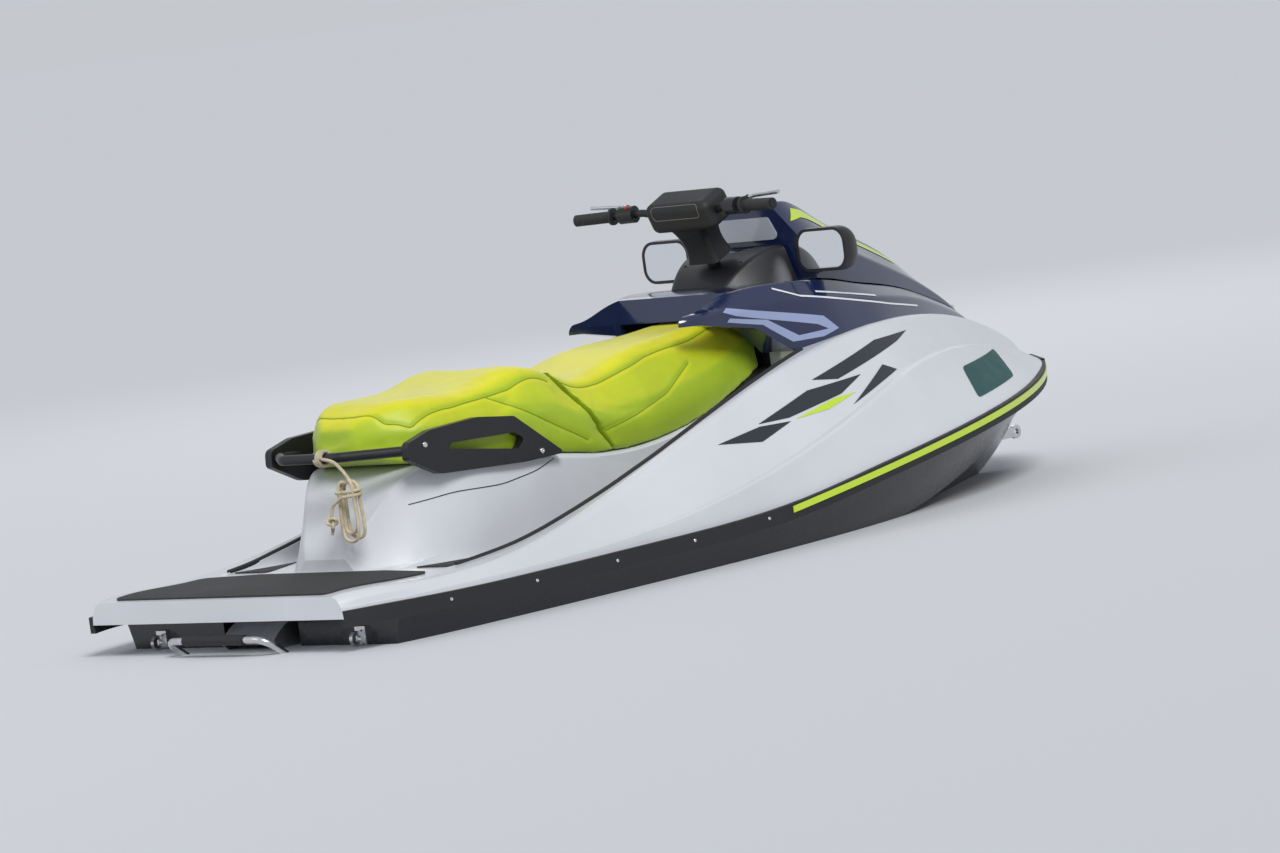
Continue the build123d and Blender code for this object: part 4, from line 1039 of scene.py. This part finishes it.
def pump_spots(tree):
    """Places evenly round the pump's rear flange."""
    spots = []
    for i in range(PUMP_BOLTS):
        turn = 2 * math.pi * (i + 0.5) / PUMP_BOLTS
        y = PUMP_BOLT_RING * math.cos(turn)
        spots.append(from_behind(tree, y, PUMP_Z + PUMP_BOLT_RING * math.sin(turn)))
    return spots


def make_fasteners():
    rail = tree_of(nodes["grab_rail"])
    fasteners("grab_rail_bolts", side_spots(rail, BLADE_BOLTS), BLADE_BOLT, "craft")
    rub_rails = tree_of(nodes["rub_rail_port"], nodes["rub_rail_starboard"])
    fasteners("rub_rail_screws", side_spots(rub_rails, RAIL_SCREWS), RAIL_SCREW, "craft")
    console = tree_of(nodes["console"])
    spots = [from_above(console, x, sign * y) for x, y in CONSOLE_SCREWS for sign in SIDES.values()]
    fasteners("console_screws", spots, CONSOLE_SCREW, "craft", "trim_black")
    fasteners("pump_bolts", pump_spots(tree_of(nodes["pump_housing"])), PUMP_BOLT, "craft")


def make_buttons():
    """The stop and start buttons on the rear of the port switch pod."""
    low, high = (Vector(corner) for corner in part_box("switch_pod_port"))
    centre = (low + high) / 2
    pod = tree_of(nodes["switch_pod_port"])
    toward = Vector((1, 0, -1)).normalized()
    for name, look, out in BUTTONS:
        spot = cast(pod, centre + Vector((-BUTTON_RAY, out, BUTTON_RAY)), toward)
        fasteners(name, [spot], BUTTON_RADIUS, "handlebar", look, BUTTON, ring=16)


make_fasteners()
make_buttons()


# Instrument and stitching
DIAL_OUT = 0.045  # how far each dial is from the gauge's middle
DIAL_RADIUS = 0.017
DIAL_ARC = range(-120, 121, 12)  # degrees
DIAL_LINE = 0.0016
DIAL_PROUD = 0.0004
NEEDLE = [(-0.004, 0.0), (0.012, 0.006)]  # x from the gauge's middle, y outward from the dial's
NEEDLE_LINE = 0.0014
LEVEL_BARS = 5
LEVEL_PITCH = 0.010
LEVEL_HALF_WIDTH = 0.003
LEVEL_FOOT = -0.012  # x of the bars' lower ends and of the shortest one's top, from the gauge's middle
LEVEL_TOP = -0.004
LEVEL_RISE = 0.004  # from one bar's top to the next one's
PAD_LINE = (0.092, 0.020)  # half width and half height of the stitched line
PAD_LINE_CORNER = 0.014
STITCH = 0.0012


def make_dials(gauge, middle):
    for side, sign in SIDES.items():
        circle = []
        for degrees in DIAL_ARC:
            angle = math.radians(degrees)
            y = sign * DIAL_OUT + DIAL_RADIUS * math.sin(angle)
            circle.append((middle + DIAL_RADIUS * math.cos(angle), y))
        top_decal(f"dial_ring_{side}", gauge, stroke(circle, DIAL_LINE), "ink_white", "craft", DIAL_PROUD)
        needle = stroke([(middle + x, sign * (DIAL_OUT + y)) for x, y in NEEDLE], NEEDLE_LINE)
        top_decal(f"dial_needle_{side}", gauge, needle, "lime_gloss", "craft", DIAL_PROUD)


def make_level_bars(gauge, middle):
    for i in range(LEVEL_BARS):
        y = LEVEL_PITCH * (i - LEVEL_BARS // 2)
        left, right = y - LEVEL_HALF_WIDTH, y + LEVEL_HALF_WIDTH
        foot = middle + LEVEL_FOOT
        top = middle + LEVEL_TOP + LEVEL_RISE * i
        block = [(foot, left), (foot, right), (top, right), (top, left)]
        top_decal(f"level_bar_{i}", gauge, block, "ink_blue", "craft", DIAL_PROUD)


def make_gauge_marks():
    low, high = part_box("gauge")
    middle = (low[0] + high[0]) / 2
    gauge = tree_of(nodes["gauge"])
    make_dials(gauge, middle)
    make_level_bars(gauge, middle)


def make_stitching():
    """The stitched line on the rear of the handlebar's pad."""
    low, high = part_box("handlebar_pad")
    pad = tree_of(nodes["handlebar_pad"])
    centre = (low[2] + high[2]) / 2
    wide, tall = PAD_LINE
    block = [(-wide, centre - tall), (wide, centre - tall), (wide, centre + tall), (-wide, centre + tall)]
    corners = rounded(block, PAD_LINE_CORNER)
    path = [from_behind(pad, y, z)[0] for y, z in corners + corners[:1]]
    tube("pad_stitching", along(path, step=0.004), STITCH, "thread_grey", "handlebar", ring=6)


make_gauge_marks()
make_stitching()


# Stage: pale floor at the waterline, meeting a pale sky in its own tone, and soft lamps
FLOOR_SIZE = 4000.0
FLOOR_COLOR = (0.72, 0.735, 0.755, 1)
SKY_LIGHT = (0.355, 0.373, 0.402, 1)  # what lights the craft
SKY_SEEN = (0.557, 0.582, 0.615, 1)  # what shows behind it, in it and through it
LAMP_AIM = Vector((0, 0, 0.3))
LAMPS = [
    # name, kind, place, angle or size, power
    ("key", "SUN", (-3.5, -6.0, 6.5), math.radians(22), 2.0),
    ("fill", "AREA", (-7.0, 3.0, 4.0), 5.0, 60.0),
    ("rim", "AREA", (6.0, 5.0, 5.0), 5.0, 60.0),
]


def make_floor():
    bpy.ops.mesh.primitive_plane_add(size=FLOOR_SIZE, location=(0, 0, 0))
    floor = bpy.context.object
    floor.name = "floor"
    material, _, shader = new_material("floor")
    shader.inputs["Base Color"].default_value = FLOOR_COLOR
    shader.inputs["Roughness"].default_value = 1.0
    shader.inputs["Specular IOR Level"].default_value = 0.0
    floor.data.materials.append(material)


def make_sky():
    """One tone for light on the craft, and another for camera, glossy and transmission rays."""
    world = bpy.data.worlds.new("world")
    world.use_nodes = True
    tree = world.node_tree
    back = tree.nodes["Background"]
    kinds = tree.nodes.new("ShaderNodeLightPath")
    shown = tree.nodes.new("ShaderNodeMix")
    shown.data_type = "RGBA"
    shown.inputs["A"].default_value = SKY_LIGHT
    shown.inputs["B"].default_value = SKY_SEEN
    ray = kinds.outputs["Is Camera Ray"]
    for kind in ("Is Glossy Ray", "Is Transmission Ray"):
        ray = worked_out(tree, "MAXIMUM", ray, kinds.outputs[kind])
    tree.links.new(ray, shown.inputs["Factor"])
    tree.links.new(shown.outputs["Result"], back.inputs["Color"])
    scene.world = world


def make_lamps():
    for name, kind, place, size, power in LAMPS:
        lamp = bpy.data.lights.new(name, kind)
        if kind == "SUN":
            lamp.angle = size
        else:
            lamp.size = size
        lamp.energy = power
        holder = bpy.data.objects.new(name, lamp)
        holder.location = place
        holder.rotation_euler = (LAMP_AIM - Vector(place)).to_track_quat("-Z", "Y").to_euler()
        scene.collection.objects.link(holder)


make_floor()
make_sky()
make_lamps()
